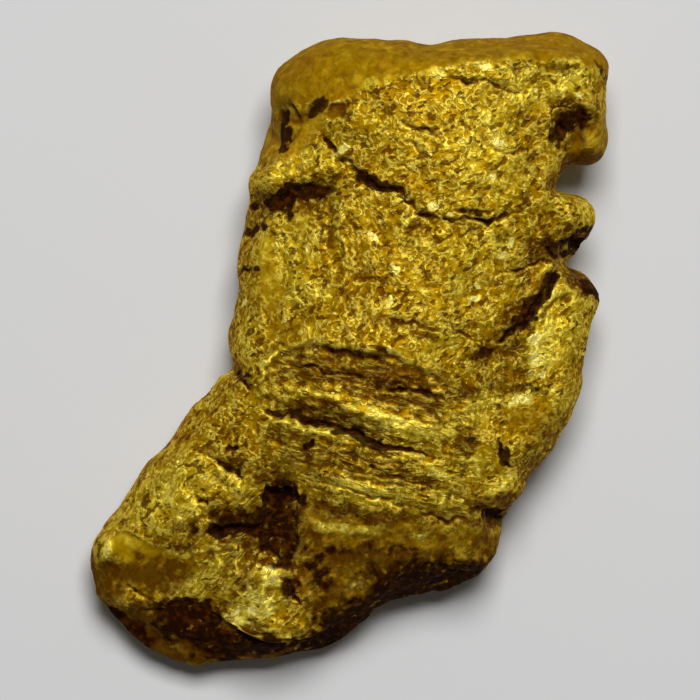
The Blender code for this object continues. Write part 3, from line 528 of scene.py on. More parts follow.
# Dirt, stain and painted shade darken the crevice; painted highlights and glints brighten the flap.
band(dirt_and_painted_shade, 1.2, 0.2, [(5.15, 2.1), (5.0, 1.6), (4.65, 1.2), (4.35, 0.9), (4.0, 0.5)])
bands(stain_and_painted_shade, (0.9, 0.3, [(4.9, 1.5), (4.3, 1.1), (3.9, 0.6), (3.5, 0.2)]),
      (0.6, 0.08, [(3.75, -1.3), (3.77, -1.7), (3.7, -2.05)]))
smears(dirt_and_painted_shade, (0.9, 5.05, 1.77, 0.12, 0.25, 80), (0.7, 3.3, -0.05, 0.5, 0.12, 20),
       (1.3, 6.05, 1.42, 0.4, 0.14, -42), (0.8, 4.58, -0.9, 0.2, 0.09, 8),
       (1.0, 3.83, -2.65, 0.16, 0.18, -30), (0.6, 3.0, -2.27, 0.12, 0.16))
smears(stain_and_painted_shade, (0.7, 4.7, 1.4, 0.5, 0.3, 45), (0.5, 4.25, 1.75, 0.4, 0.4, 45),
       (0.85, 3.88, 0.12, 0.55, 0.28, 10), (0.7, 3.15, -0.3, 0.2, 0.3), (0.5, 4.05, -0.2, 0.5, 0.12),
       (0.6, 4.0, -0.7, 0.6, 0.5), (0.25, 5.6, 0.5, 1.0, 0.25, 78), (1.2, 5.75, 1.65, 0.5, 0.25, -45),
       (0.8, 4.28, -0.93, 0.35, 0.13, 8), (0.35, 4.62, -1.75, 0.6, 0.4), (0.8, 2.92, -2.33, 0.22, 0.3),
       (0.5, 4.25, -2.7, 0.4, 0.14, -20))
smears(painted_highlight, (1.0, 4.55, 0.2, 0.15, 0.42, 85), (0.9, 5.12, 1.25, 0.4, 0.25, 35),
       (1.3, 4.6, -0.1, 0.9, 0.2, 85), (1.0, 4.85, 0.2, 1.1, 0.4, 78), (0.7, 5.6, 0.7, 0.9, 0.4, 75),
       (2.6, 4.25, -1.24, 0.3, 0.11, 8), (0.7, 3.62, -0.38, 0.5, 0.14), (0.7, 3.5, -1.12, 0.35, 0.35),
       (0.7, 3.05, -2.83, 0.35, 0.3), (0.9, 3.95, -3.3, 0.35, 0.22, 30), (0.7, 4.75, -2.5, 0.3, 0.2, 40),
       (0.6, 5.25, -1.25, 0.3, 0.6, 60))
smear(smoothness, 0.55, 4.5, -1.7, 0.6, 0.4)
painted_glints((4.78, -0.68, 0.12, 0.09), (4.55, 0.25, 0.1, 0.14), (4.6, -0.25, 0.08, 0.16))

# ------------------------------
# Corrugated belt: a band squeezed into fine pleats that run across the lump, falling a little
# to the right. Its upper flank is sunk and its second groove is the deepest.

BELT_TOP = [(-1.95, -0.5), (-1.75, -0.1), (-1.25, 0.08), (-0.75, 0.1), (-0.12, 0.0), (0.5, -0.05),
            (1.05, -0.1), (1.6, -0.35), (2.1, -0.6), (2.7, -0.9)]
step(0.16, 0.1, 0.9, BELT_TOP)
ridge(0.1, 0.07, 0.08, [(-1.77, 0.0), (-1.95, -0.25), (-2.1, -0.42), (-2.15, -0.75), (-2.15, -1.15)])
crack(0.09, 0.05, [(0.55, -0.93), (1.05, -0.97), (1.55, -1.02), (2.38, -1.23), (2.8, -1.45)], 0.6)
crack(0.06, 0.04, [(-1.25, -0.42), (-0.75, -0.5), (0.0, -0.57)])
crack(0.05, 0.04, [(-0.12, -0.8), (0.5, -0.9), (1.25, -0.85)])
CREST = [(-2.05, -0.95), (-1.25, -1.07), (-0.5, -1.22), (0.35, -1.53), (1.35, -1.82), (2.0, -1.97),
         (2.72, -2.2)]
ridge(0.13, 0.2, 0.28, CREST)
GROOVE = [(-2.2, -1.52), (-1.85, -1.58), (-1.5, -1.65), (-1.1, -1.75), (-0.5, -1.87), (0.0, -2.0),
          (0.5, -2.22), (1.0, -2.4), (1.5, -2.48), (1.9, -2.6), (2.4, -2.72)]
ridge(-0.08, 0.3, 0.1, GROOVE)
crack(0.13, 0.06, GROOVE, 0.4)
ridge(0.07, 0.08, 0.14, [(-2.1, -1.7), (-1.5, -1.85), (-0.75, -2.05), (-0.12, -2.25)])
crack(0.1, 0.05, [(-1.2, -2.5), (-1.0, -2.4), (-0.82, -2.25)])
pit(0.06, 0.6, -2.85, 0.08, 0.06, 30, 1.2, 0.9)
crack(0.05, 0.04, [(-0.8, -2.55), (0.0, -2.62), (0.75, -2.77), (1.62, -3.0)], 0.6)
crack(0.05, 0.04, [(0.05, -3.0), (1.0, -3.15), (1.75, -3.3), (2.45, -3.45)], 0.6)
crack(0.06, 0.04, [(-0.8, -3.2), (0.0, -3.5), (0.88, -3.75), (1.88, -3.95)], 0.6)
ridge(0.06, 0.08, 0.12, [(-0.85, -3.0), (0.0, -3.33), (1.12, -3.52), (2.05, -3.73)])
# Dirt and painted shade in the grooves, stain with painted shade on the flanks that face down, and painted
# highlights on the crests.
bands(dirt_and_painted_shade, (0.7, 0.07, [(-1.5, -0.4), (-0.88, -0.47), (-0.12, -0.6), (0.62, -0.75)]),
      (0.55, 0.08, [(-1.3, 0.0), (-0.6, 0.02), (0.3, -0.12), (1.2, -0.25)]),
      (0.5, 0.1, [(0.0, -0.75), (0.9, -0.78), (1.6, -0.85), (2.3, -1.05)]),
      (0.8, 0.08, [(0.55, -0.93), (1.05, -0.97), (1.55, -1.02), (2.38, -1.23)]),
      (0.5, 0.16, [(-2.0, -1.5), (-1.25, -1.6), (-0.5, -1.78), (0.12, -1.95), (0.75, -2.18), (1.3, -2.38)]),
      (0.9, 0.1, [(-2.2, -1.47), (-1.85, -1.53), (-1.4, -1.63), (-0.75, -1.8), (0.0, -2.0)]),
      (1.1, 0.12, [(-0.75, -1.83), (0.0, -2.05), (0.5, -2.25), (1.0, -2.4), (1.55, -2.5)]))
bands(stain_and_painted_shade, (1.0, 0.38, [(-1.88, -0.35), (-1.0, -0.42), (0.0, -0.53), (1.25, -0.75), (2.38, -0.95)]),
      (0.9, 0.2, [(0.0, -1.05), (1.0, -1.15), (1.75, -1.25), (2.5, -1.45)]),
      (0.85, 0.2, [(-1.95, -1.35), (-1.25, -1.38), (-0.5, -1.55), (0.12, -1.75), (0.75, -2.0),
                   (1.25, -2.2)]), (0.8, 0.12, [(-0.75, -2.55), (0.0, -2.65), (0.88, -2.83)]),
      (0.9, 0.13, [(0.4, -2.9), (1.12, -3.05), (1.75, -3.2), (2.38, -3.38)]),
      (0.55, 0.12, [(-1.25, -2.95), (-0.5, -3.15), (0.12, -3.48)]))
bands(painted_highlight, (1.0, 0.07, [(-1.75, 0.0), (-1.95, -0.23), (-2.1, -0.42), (-2.12, -0.62)]),
      (0.7, 0.05, [(-2.17, -0.7), (-2.15, -1.0), (-2.2, -1.35)]),
      (0.7, 0.06, [(-2.05, -1.7), (-2.12, -2.0), (-2.17, -2.3)]),
      (0.5, 0.16, [(-1.62, -1.0), (-0.88, -1.05), (-0.12, -1.2)]),
      (1.2, 0.24, [(-0.3, -1.38), (0.5, -1.65), (1.5, -1.92), (2.25, -2.1), (2.62, -2.2)]),
      (0.6, 0.12, [(-2.05, -1.75), (-1.38, -1.85), (-0.75, -2.02), (-0.12, -2.17)]),
      (0.55, 0.1, [(-0.8, -3.05), (0.0, -3.35), (1.12, -3.55), (2.0, -3.7)]),
      (0.5, 0.1, [(0.7, -2.75), (1.5, -2.9), (2.25, -3.2)]))
smears(dirt_and_painted_shade, (1.0, -1.02, -2.4, 0.2, 0.1, 25), (0.9, 0.6, -2.85, 0.1, 0.07, 10))
smears(stain_and_painted_shade, (0.6, -1.18, -0.05, 0.5, 0.12), (0.9, 0.68, -0.12, 0.5, 0.11, -8),
       (0.6, -1.73, -2.08, 0.45, 0.2, -10), (0.6, 0.25, -2.02, 0.4, 0.1, -15),
       (0.8, 2.85, -1.0, 0.45, 0.2, -10))
smears(painted_highlight, (0.9, 2.48, -3.62, 0.35, 0.12, -5), (1.3, 2.15, -3.05, 0.35, 0.16, -25),
       (0.8, 1.3, -2.75, 0.3, 0.1, -15), (0.8, 3.58, -3.5, 0.2, 0.12, 10), (0.6, 2.62, -3.0, 0.3, 0.2),
       (0.8, 3.25, -1.45, 0.35, 0.35, 80), (0.6, 2.75, -1.88, 0.3, 0.3))
tint(stain_and_painted_shade, 0.55, [(-1.8, -2.1), (-0.5, -2.25), (1.0, -2.6), (1.6, -2.75), (2.2, -3.4), (1.6, -3.5),
                   (-0.6, -3.0), (-1.8, -2.8)], 0.3)

# ------------------------------
# Toe: the bent lower end, torn open by a gully. Ribs and flat faces run down to a brow, under which
# the wall turns in. Painted shade with dirt darkens the gully and the brow's underside.

crack(0.16, 0.06, [(-3.15, -0.4), (-2.88, -0.47), (-2.7, -0.6), (-2.5, -0.6)])
crack(0.1, 0.05, [(-2.83, -0.6), (-2.6, -0.85), (-2.42, -1.07)])
crack(0.1, 0.05, [(-3.12, -2.55), (-2.95, -2.5), (-2.83, -2.38)])
crack(0.12, 0.06, [(-3.62, -2.62), (-3.35, -2.73), (-3.08, -2.85), (-2.85, -3.05), (-2.7, -3.3)])
ridge(0.08, 0.12, 0.2, [(-3.3, -2.8), (-3.02, -3.05), (-2.85, -3.35), (-2.6, -3.6)])
crack(0.1, 0.05, [(-3.83, -3.67), (-3.6, -3.83), (-3.6, -4.0)])
ridge(-0.1, 0.2, 0.2, [(-3.75, -4.05), (-3.25, -4.15), (-2.75, -4.08), (-2.2, -3.95)])
crack(0.28, 0.14, [(-3.55, -4.62), (-3.35, -4.55), (-3.05, -4.5), (-2.6, -4.42), (-2.15, -4.35)])
pit(0.3, -1.8, -3.65, 0.4, 0.2, 0, 0.9, 1.6)
ridge(-0.14, 0.4, 0.3, [(-1.68, -3.75), (-1.73, -4.25), (-1.75, -4.88), (-1.8, -5.5)])
pit(-0.06, -2.25, -4.33, 0.1, 0.09, 0, 0.9)
step(0.14, 0.06, 0.5, [(-1.35, -3.35), (-1.27, -3.75), (-1.25, -4.25), (-1.27, -4.88), (-1.35, -5.4)])
crack(0.12, 0.06, [(-1.7, -5.65), (-1.52, -5.88), (-1.4, -6.12), (-1.25, -6.4)])
ridge(0.07, 0.1, 0.1, [(-3.27, -4.7), (-3.35, -5.12), (-3.5, -5.62), (-4.0, -6.15)])
ridge(0.07, 0.1, 0.1, [(-2.73, -4.62), (-2.8, -5.12), (-2.95, -5.62), (-3.1, -6.0)])
ridge(-0.06, 0.12, 0.12, [(-2.5, -4.75), (-2.5, -5.25), (-2.67, -5.7), (-2.9, -6.05)])
ridge(0.1, 0.2, 0.25, [(-2.15, -5.4), (-2.15, -5.88), (-2.2, -6.38), (-2.3, -6.88)])
ridge(0.12, 0.3, 0.06, [(-3.15, -6.5), (-2.8, -6.8), (-2.4, -7.03), (-1.88, -7.12), (-1.35, -7.1),
                        (-0.8, -6.9)])
step(0.1, 0.05, 0.35, [(-0.5, -6.8), (-0.95, -7.05), (-1.35, -7.2), (-1.88, -7.25), (-2.4, -7.15),
                       (-3.0, -7.0), (-3.42, -6.7)])
ridge(0.05, 0.12, 0.06, [(-5.95, -4.75), (-5.55, -4.55), (-5.0, -4.8), (-4.25, -5.15)])
TOE_CRACK = [(-5.9, -5.95), (-5.55, -5.95), (-5.25, -6.05), (-4.88, -6.1)]
crack(0.05, 0.04, TOE_CRACK)
step(0.12, 0.1, 0.6, [(-6.45, -6.25), (-5.88, -6.4), (-5.0, -6.33), (-4.38, -6.25), (-3.62, -6.33),
                      (-3.12, -6.55)])
ridge(0.1, 0.12, 0.12, [(-4.9, -6.75), (-4.55, -7.05), (-4.3, -7.38), (-3.9, -7.7)])
ridge(0.06, 0.1, 0.1, [(-3.1, -7.75), (-2.85, -7.45), (-2.45, -7.25)])
# Dirt and painted shade under the brow and in the gully, stain with painted shade on the lower slopes, and
# painted highlights and glints on the rims, ribs and bright patch.
bands(dirt_and_painted_shade, (0.9, 0.16, [(-3.5, -6.85), (-3.05, -7.12), (-2.5, -7.25), (-1.88, -7.35), (-1.25, -7.33),
                         (-0.7, -7.15)]), (0.6, 0.06, TOE_CRACK),
      (1.0, 0.3, [(-5.0, -6.45), (-4.38, -6.42), (-3.75, -6.45), (-3.2, -6.65)]))
bands(stain_and_painted_shade, (0.6, 0.07, [(-5.7, -4.4), (-5.2, -4.55), (-4.8, -4.8), (-4.38, -4.95)]),
      (0.5, 0.08, [(-5.0, -4.62), (-4.5, -4.75), (-4.12, -4.95)]))
bands(painted_highlight, (1.0, 0.12, [(-3.05, -6.53), (-2.75, -6.78), (-2.35, -6.97), (-1.85, -7.08), (-1.35, -7.03),
                          (-0.9, -6.85)]), (1.3, 0.08, [(-6.3, -5.45), (-6.05, -5.03), (-5.8, -4.65)]),
      (0.8, 0.06, [(-5.95, -4.75), (-5.65, -4.4), (-5.3, -4.0)]),
      (0.7, 0.06, [(-5.45, -3.75), (-5.2, -3.45), (-4.95, -3.25)]),
      (0.6, 0.12, [(-4.88, -6.8), (-4.55, -7.05), (-4.28, -7.38), (-3.95, -7.65)]),
      (0.4, 0.1, [(-3.1, -7.7), (-2.85, -7.45), (-2.5, -7.28)]),
      (0.35, 0.08, [(-2.2, -7.5), (-1.88, -7.62), (-1.45, -7.62)]))
smears(dirt_and_painted_shade, (0.6, -2.62, -0.62, 0.3, 0.14, -20), (0.9, -2.92, -2.45, 0.18, 0.09, 35),
       (0.6, -2.88, -4.17, 0.7, 0.12, 5), (1.6, -3.05, -4.52, 0.5, 0.14, 3), (1.6, -1.75, -3.7, 0.5, 0.3),
       (1.3, -2.85, -4.45, 0.6, 0.2, 3), (1.0, -2.5, -4.3, 1.1, 0.34, 5, 1.8),
       (1.0, -1.75, -4.3, 0.5, 1.0, 0, 1.6), (0.75, -1.7, -4.88, 0.42, 0.5), (0.8, -1.48, -5.15, 0.09, 0.1),
       (0.9, -1.5, -5.9, 0.12, 0.28, -65), (1.3, -3.9, -6.9, 0.85, 0.42, -10),
       (1.0, -5.6, -6.9, 0.8, 0.3, -40), (1.1, -3.0, -7.45, 0.9, 0.3), (0.7, -0.75, -7.38, 1.0, 0.3, 20))
smears(stain_and_painted_shade, (0.6, -2.5, -0.85, 0.3, 0.25, -30), (0.5, -3.38, -2.5, 0.5, 0.12),
       (0.7, -2.95, -2.8, 0.5, 0.14, -35), (0.5, -2.38, -2.88, 0.5, 0.3), (0.95, -2.95, -4.1, 0.7, 0.2, 5),
       (0.9, -2.1, -4.5, 1.5, 0.85, 10, 1.8), (0.7, -1.4, -5.3, 0.9, 1.2, 10, 1.8),
       (0.8, -2.0, -5.2, 0.5, 0.55), (0.8, -0.95, -4.88, 0.35, 0.5), (0.6, -0.88, -5.88, 0.4, 0.7),
       (0.6, -0.25, -5.5, 0.7, 0.6), (0.5, -2.38, -5.38, 0.25, 0.4, -10),
       (0.6, -2.55, -5.85, 0.3, 0.16, 10), (0.6, -4.12, -4.42, 0.4, 0.2),
       (0.9, -4.15, -4.92, 0.4, 0.14, -5), (1.0, -5.1, -5.6, 1.2, 0.45, 0, 1.7),
       (0.45, -5.75, -6.05, 0.8, 0.3, -5), (1.6, -4.3, -7.2, 2.2, 0.85, -8),
       (0.95, -6.1, -6.2, 0.4, 1.2, 10), (1.0, -1.5, -7.55, 1.3, 0.3, 10))
smears(painted_highlight, (0.8, -3.0, -3.1, 0.4, 0.16, -45), (0.4, -2.67, -3.58, 0.25, 0.16, 20),
       (0.5, -2.2, -4.3, 0.08, 0.07), (0.7, -3.3, -5.25, 0.2, 0.55, -12),
       (0.6, -2.85, -5.08, 0.14, 0.4, -12), (0.75, -3.85, -5.8, 0.35, 0.28, 40),
       (1.9, -2.0, -5.62, 0.32, 0.24, -20), (1.3, -2.25, -6.35, 0.5, 0.45, 20),
       (1.9, -2.38, -6.4, 0.42, 0.28, 35), (1.9, -2.75, -6.6, 0.38, 0.25, 45),
       (0.9, -1.88, -6.0, 0.2, 0.4, 20), (0.8, -2.75, -6.55, 0.25, 0.2, -20),
       (0.5, -5.38, -4.88, 0.5, 0.14, -20), (0.4, -5.95, -4.85, 0.6, 0.25, 52),
       (0.7, -4.4, -3.6, 1.3, 0.6, 45), (0.7, -3.1, -3.2, 0.7, 0.35, -20),
       (0.6, -4.0, -2.88, 0.5, 0.3, -30), (0.5, -3.62, -3.38, 0.3, 0.4, 30), (0.4, -5.7, -6.3, 0.4, 0.12),
       (0.4, -4.8, -5.83, 0.3, 0.15))
smears(smoothness, (0.85, -5.25, -5.6, 1.25, 0.5), (0.8, -4.3, -7.2, 2.6, 0.8, -8))
tint(smoothness, 0.95, [(-5.95, -4.75), (-5.6, -4.6), (-4.25, -5.15), (-4.6, -5.3), (-5.9, -5.15)], 0.08)

# ------------------------------
# Lower right: the flank below the belt, rubbed smoother, with painted shade that darkens it towards
# its lower edge. It has faint pleats, a torn wedge and low bumps along its lower edge.

crack(0.08, 0.05, [(1.75, -3.98), (2.25, -4.2), (2.8, -4.22)])
pit(0.1, 3.45, -4.03, 0.42, 0.14, -15, 1.0, 0.7)
ridge(0.07, 0.06, 0.06, [(3.1, -4.1), (3.35, -4.35), (3.55, -4.55), (3.75, -4.78)])
# Painted shade: every side that faces -Y, away from the light, is darkened through the stain layer.
mark(stain_and_painted_shade, EVERYWHERE, 0.75 * ease((-broad_normals[:, 1] - 0.25) / 0.4))
for x, y in ((0.5, -5.12), (1.5, -5.25), (1.9, -5.3), (2.85, -5.22), (-0.1, -6.1), (0.2, -4.9),
             (-0.8, -4.4), (-0.3, -4.45), (0.3, -4.55), (3.2, -5.4), (2.0, -3.7), (2.5, -3.75)):
    pit(-0.04, x, y, 0.22, 0.14, -10, 0.9)
# Dirt and stain with painted shade in the pleats, and painted highlights on their crests.
band(dirt_and_painted_shade, 0.5, 0.12, [(-1.2, -3.95), (-0.2, -4.08), (0.8, -4.2)])
bands(stain_and_painted_shade, (0.6, 0.16, [(1.12, -3.95), (1.75, -3.92), (2.25, -4.15), (2.8, -4.2)]),
      (0.5, 0.14, [(-1.25, -3.88), (-0.25, -3.95), (0.75, -4.05), (1.5, -4.25)]),
      (0.5, 0.14, [(-0.5, -4.75), (0.5, -4.88), (1.5, -4.95), (2.5, -4.88)]),
      (1.0, 0.18, [(-1.2, -3.85), (-0.2, -4.0), (0.8, -4.15), (1.8, -4.2)]),
      (1.2, 0.25, [(-1.2, -5.0), (0.0, -5.1), (1.2, -5.2), (2.0, -5.3)]))
bands(painted_highlight, (0.8, 0.05, [(3.15, -4.15), (3.38, -4.35), (3.55, -4.55), (3.73, -4.72)]),
      (1.0, 0.16, [(-1.15, -4.3), (-0.5, -4.4), (0.3, -4.5), (0.9, -4.6)]),
      (0.4, 0.09, [(0.55, -4.25), (0.88, -4.42), (1.12, -4.5)]),
      (0.35, 0.09, [(1.38, -4.55), (1.75, -4.55), (2.05, -4.5)]),
      (0.45, 0.1, [(2.25, -5.0), (2.62, -5.08), (3.05, -5.15)]),
      (1.0, 0.14, [(-0.9, -3.1), (0.0, -3.38), (0.9, -3.65), (1.6, -3.8)]),
      (0.6, 0.12, [(-0.4, -3.62), (0.5, -3.85), (1.4, -3.95)]))
smears(dirt_and_painted_shade, (0.75, 3.5, -4.03, 0.45, 0.14, -10), (0.5, 3.1, -4.1, 0.6, 0.14, -12),
       (0.6, -0.5, -4.95, 0.6, 0.12), (0.65, -0.75, -5.5, 0.35, 0.6, 10), (0.5, 0.6, -5.5, 0.6, 0.2),
       (0.5, 1.2, -4.95, 0.9, 0.1, -5), (0.6, -0.12, -6.62, 0.7, 0.3, 40))
smears(stain_and_painted_shade, (0.9, 3.6, -4.25, 0.35, 0.3, -30), (0.7, 3.25, -4.88, 0.5, 0.5),
       (0.8, -0.38, -4.95, 0.9, 0.14), (0.8, 2.9, -4.2, 0.7, 0.22, -12))
smears(painted_highlight, (0.5, 2.75, -5.0, 0.4, 0.2, -10), (0.7, 1.75, -4.65, 0.3, 0.18, -10),
       (0.7, 0.2, -5.95, 0.25, 0.35, 10), (0.4, 2.5, -4.5, 0.3, 0.14, -10))
tint(smoothness, 0.7, [(-1.2, -3.9), (1.0, -4.1), (4.2, -4.5), (4.6, -5.0), (2.0, -6.6), (-1.0, -6.9)], 0.4)
# Painted shade: the stain and dirt layers darken the flank more and more towards its lower edge.
tint(stain_and_painted_shade, 0.42, [(-1.2, -3.5), (3.0, -4.2), (4.4, -4.4), (4.6, -5.4), (0.6, -6.6), (-1.0, -6.9)], 0.5)
tint(stain_and_painted_shade, 1.0, [(-0.9, -5.6), (0.2, -5.4), (2.4, -5.25), (3.4, -5.3), (4.8, -4.9), (4.0, -6.8),
                  (-1.0, -7.8)], 1.1)
tint(dirt_and_painted_shade, 0.95, [(-0.9, -6.6), (0.3, -6.1), (1.0, -5.35), (2.4, -5.2), (3.4, -5.25), (4.8, -4.9),
                  (4.0, -6.8), (-1.0, -7.8)], 0.7)

# ------------------------------
# Sides and back: the layers of the folded metal meet in broken seams that run round the walls,
# and the back is creased where it was bent and hammered.

LAYER = 0.95
LAYER_START = 0.35
LAYER_WANDER = 0.35
SEAM_WIDTH = 0.055
SEAM_DEPTH = 0.10
CREASE_SPREAD = 0.09
LEDGE_DEPTH = 0.10
MIDWAY = 0.25
BELOW_WALL = 0.85
TURN_RANGE = 0.3
SIDEWAYS = 0.4


def ribbon(values, spread):
    """1 where the values pass through 0, and down to 0 where they reach the spread."""
    return 1.0 - np.minimum(1.0, np.abs(values) / spread)


downward = -broad_normals[:, 2]
wall = ease((SIDEWAYS + downward) / TURN_RANGE) * ease((BELOW_WALL - downward) / TURN_RANGE)
wall *= 1.0 - face
back = ease((downward - SIDEWAYS) / TURN_RANGE) * ease(points[:, 2] / 0.15)
around = np.maximum(wall, back)
layers = (points[:, 2] + LAYER_WANDER * field(2.4, 83.0) + 0.06 * ragged) / LAYER + LAYER_START
off_seam = (layers - np.round(layers)) * LAYER / SEAM_WIDTH
seam = np.exp(-off_seam ** 2) * wall * ease(0.35 + 1.6 * field(1.6, 85.0))
crease = ribbon(field(1.5, 87.0), CREASE_SPREAD) * back * ease(0.4 + 1.6 * field(1.1, 89.0))
ledge = ease((layers % 1.0) / 0.4) - layers % 1.0 - MIDWAY
rumple = 0.05 * field(1.2, 91.0) + 0.03 * field(0.55, 93.0) + LEDGE_DEPTH * ledge
folded_in = SEAM_DEPTH * (seam + crease) - rumple * around
mark(dirt_and_painted_shade, EVERYWHERE, np.maximum(seam, crease))
mark(stain_and_painted_shade, EVERYWHERE, 0.5 * ease(field(1.0, 95.0)) * around)

# ------------------------------
# Etched grain: acids in the soil have eaten silver out of the surface and left wormy grains.
# They are coarse on the face and faint where the lump is burnished.

WORM = 0.009
FINE_WORM = 0.006
BEAD = 0.008
ETCHING = 0.003
DASH = 0.006
SUNK = 0.005
PLEAT = 0.030
HATCH = 0.012
FLANK_LUMP = 0.022
ROLL_LUMP = 0.010
GRAIN_START = 0.45
GRAIN_RANGE = 0.25
FULLER = 0.025
FULLER_PLACES = ((0.10, (-5.3, -6.6), 1.5), (0.09, (3.3, -5.7), 0.9))


def specks(values):
    """1 on the high spots of the values, and 0 between them."""
    return ease((values - GRAIN_START) / GRAIN_RANGE)


rough = 1.0 - smoothness
top = ease(normals[:, 2] * 1.6 + 0.5)
belt = patch([(-1.9, 0.1), (1.0, 0.1), (3.0, -1.0), (3.4, -2.6), (2.8, -4.2), (-1.2, -3.4),
              (-2.2, -2.2)], 0.35)
toe = ease((-2.6 - points[:, 1] - 0.55 * (points[:, 0] + 3.0)) / 0.8)
flank = patch([(-1.2, -3.6), (3.0, -4.2), (4.8, -4.2), (4.8, -6.0), (-0.8, -7.8)], 0.4)
folds = 0.04 * field(0.9, 31.0) + 0.02 * field(0.42, 37.0)
for size, shift, height, count in ((1.1, 33.0, 0.02, 3.0), (0.6, 35.0, 0.014, 2.5)):
    terrace = field(size, shift) * count + 0.35 * ragged
    folds += height * (np.floor(terrace) + ease((terrace % 1.0) / 0.22) - terrace)
plain_worm = field(0.25, 13.0)
drawn_worm = field(0.15, 15.0, 3.6, 48.0)
worm = ribbon(plain_worm + (drawn_worm - plain_worm) * toe, 0.36)
breaks = ease(0.5 + 1.3 * field(0.33, 53.0))
grain = WORM * worm * (0.25 + 0.75 * breaks) + FINE_WORM * ribbon(field(0.17, 17.0), 0.5)
grain += BEAD * specks(field(0.15, 71.0))
grain -= ETCHING * specks(-field(0.2, 51.0)) + DASH * specks(-field(0.11, 61.0, 2.6, -6.0)) + SUNK
streak = field(0.12, 41.0, 4.0, -12.0)
hatch = field(0.10, 43.0, 2.4, 80.0)
relief = folds * (0.35 + 0.65 * rough) + grain * (0.12 + 0.88 * rough) * (1.0 - 0.4 * belt)
relief += PLEAT * streak * belt * (0.3 + 0.7 * rough)
relief += (HATCH * hatch + FLANK_LUMP * field(0.24, 47.0)) * flank
relief += ROLL_LUMP * field(0.3, 49.0) * rolled

grow = np.full(len(points), FULLER)
for amount, centre, reach in FULLER_PLACES:
    grow += amount * np.exp(-(((points[:, :2] - centre) / reach) ** 2).sum(axis=1))
outward = broad_normals * (1.0, 1.0, 0.0)
points[:, 2] += lift
points += normals * (relief * (0.3 + 0.7 * top) - folded_in)[:, None] + outward * grow[:, None]
write_points(nugget.data, points)

# ------------------------------
# Finish: rich yellow native gold, bright where the paler grains stand out and where painted highlight
# lies on their crests, and browned in the creases by painted shade together with dirt.

TRIANGLES = 196000
KEEP = 0.4
FINE_ROUNDS = 3
MIDDLE_ROUNDS = 14
COARSE_ROUNDS = 80
CREST_DEPTH = 0.024
CREVICE_DEPTH = 0.07
SHADE_DEPTH = 0.22
BUMP_DEPTH = 0.000014


def store(mesh, name, values):
    """Keeps one value for each point of the mesh, for the finish to read."""
    layer = mesh.attributes.new(name, "FLOAT", "POINT")
    layer.data.foreach_set("value", values.astype(np.float32))


for name, values in (("smoothness", smoothness), ("dirt_and_painted_shade", dirt_and_painted_shade), ("stain_and_painted_shade", stain_and_painted_shade),
                     ("painted_highlight", painted_highlight), ("belt", belt), ("toe", toe)):
    store(nugget.data, name, values)
triangles = sum(len(polygon.vertices) - 2 for polygon in nugget.data.polygons)
set_skin(nugget, "DECIMATE", ratio=TRIANGLES / triangles)
mesh = nugget.data

ends = np.empty(len(mesh.edges) * 2, dtype=np.int32)
mesh.edges.foreach_get("vertices", ends)
ends = ends.reshape(-1, 2)
count = len(mesh.vertices)
neighbours = np.bincount(ends.ravel(), minlength=count)


def even_out(values, rounds):
    """Averages each point's values with its neighbours', the given number of times."""
    for _ in range(rounds):
        total = np.stack([np.bincount(ends[:, 0], weights=column[ends[:, 1]], minlength=count)
                          + np.bincount(ends[:, 1], weights=column[ends[:, 0]], minlength=count)
                          for column in values.T], axis=1)
        values = KEEP * values + (1.0 - KEEP) * total / neighbours[:, None]
    return values


points = read_points(mesh)
points[:, 2] = np.clip(points[:, 2], 0.0, None)
write_points(mesh, points)
normals = read_normals(mesh)
fine = even_out(points, FINE_ROUNDS)
middle = even_out(fine, MIDDLE_ROUNDS)
coarse = even_out(middle, COARSE_ROUNDS)
fine_hollow, deep_hollow, broad_hollow = [np.einsum("ij,ij->i", form - points, normals)
                                          for form in (fine, middle, coarse)]
# How far each place stands on a crest, or lies in a crease or a broad hollow: the finish paints highlight
# on the crests, and shade with dirt in the creases and hollows.
store(mesh, "crest", np.clip(0.5 - fine_hollow / CREST_DEPTH, 0.0, 1.0))
store(mesh, "crevice", ease(deep_hollow / CREVICE_DEPTH))
store(mesh, "shade", ease(broad_hollow / SHADE_DEPTH))

gold = bpy.data.materials.new("native_gold")
gold.use_nodes = True
nodes = gold.node_tree.nodes
links = gold.node_tree.links
surface = nodes["Principled BSDF"]
surface.inputs["Specular Tint"].default_value = (0.85, 0.5, 0.05, 1.0)
surface.inputs["Specular IOR Level"].default_value = 0.05
place = nodes.new("ShaderNodeTexCoord")


def kept(name):
    node = nodes.new("ShaderNodeAttribute")
    node.attribute_name = name
    return node.outputs["Fac"]


def maths(kind, first, second, clamp=False):
    node = nodes.new("ShaderNodeMath")
    node.operation = kind
    node.use_clamp = clamp
    for socket, value in zip(node.inputs, (first, second)):
        if isinstance(value, (int, float)):
            socket.default_value = value
        else:
            links.new(value, socket)
    return node.outputs["Value"]


def times(first, second):
    return maths("MULTIPLY", first, second)


def most(first, second):
    return maths("MAXIMUM", first, second)


def minus(first, second, clamp=False):
    return maths("SUBTRACT", first, second, clamp)


def mottle(scale, detail=2.0, stretch=1.0, turn=0.0):
    """Uneven cloudy values, drawn out along the direction turned by that angle from +X."""
    drawn = nodes.new("ShaderNodeMapping")
    drawn.vector_type = "TEXTURE"
    drawn.inputs["Rotation"].default_value = (0.0, 0.0, turn)
    drawn.inputs["Scale"].default_value = (stretch, 1.0, 1.0)
    links.new(place.outputs["Object"], drawn.inputs["Vector"])
    node = nodes.new("ShaderNodeTexNoise")
    node.inputs["Scale"].default_value = scale
    node.inputs["Detail"].default_value = detail
    links.new(drawn.outputs["Vector"], node.inputs["Vector"])
    return node.outputs["Fac"]


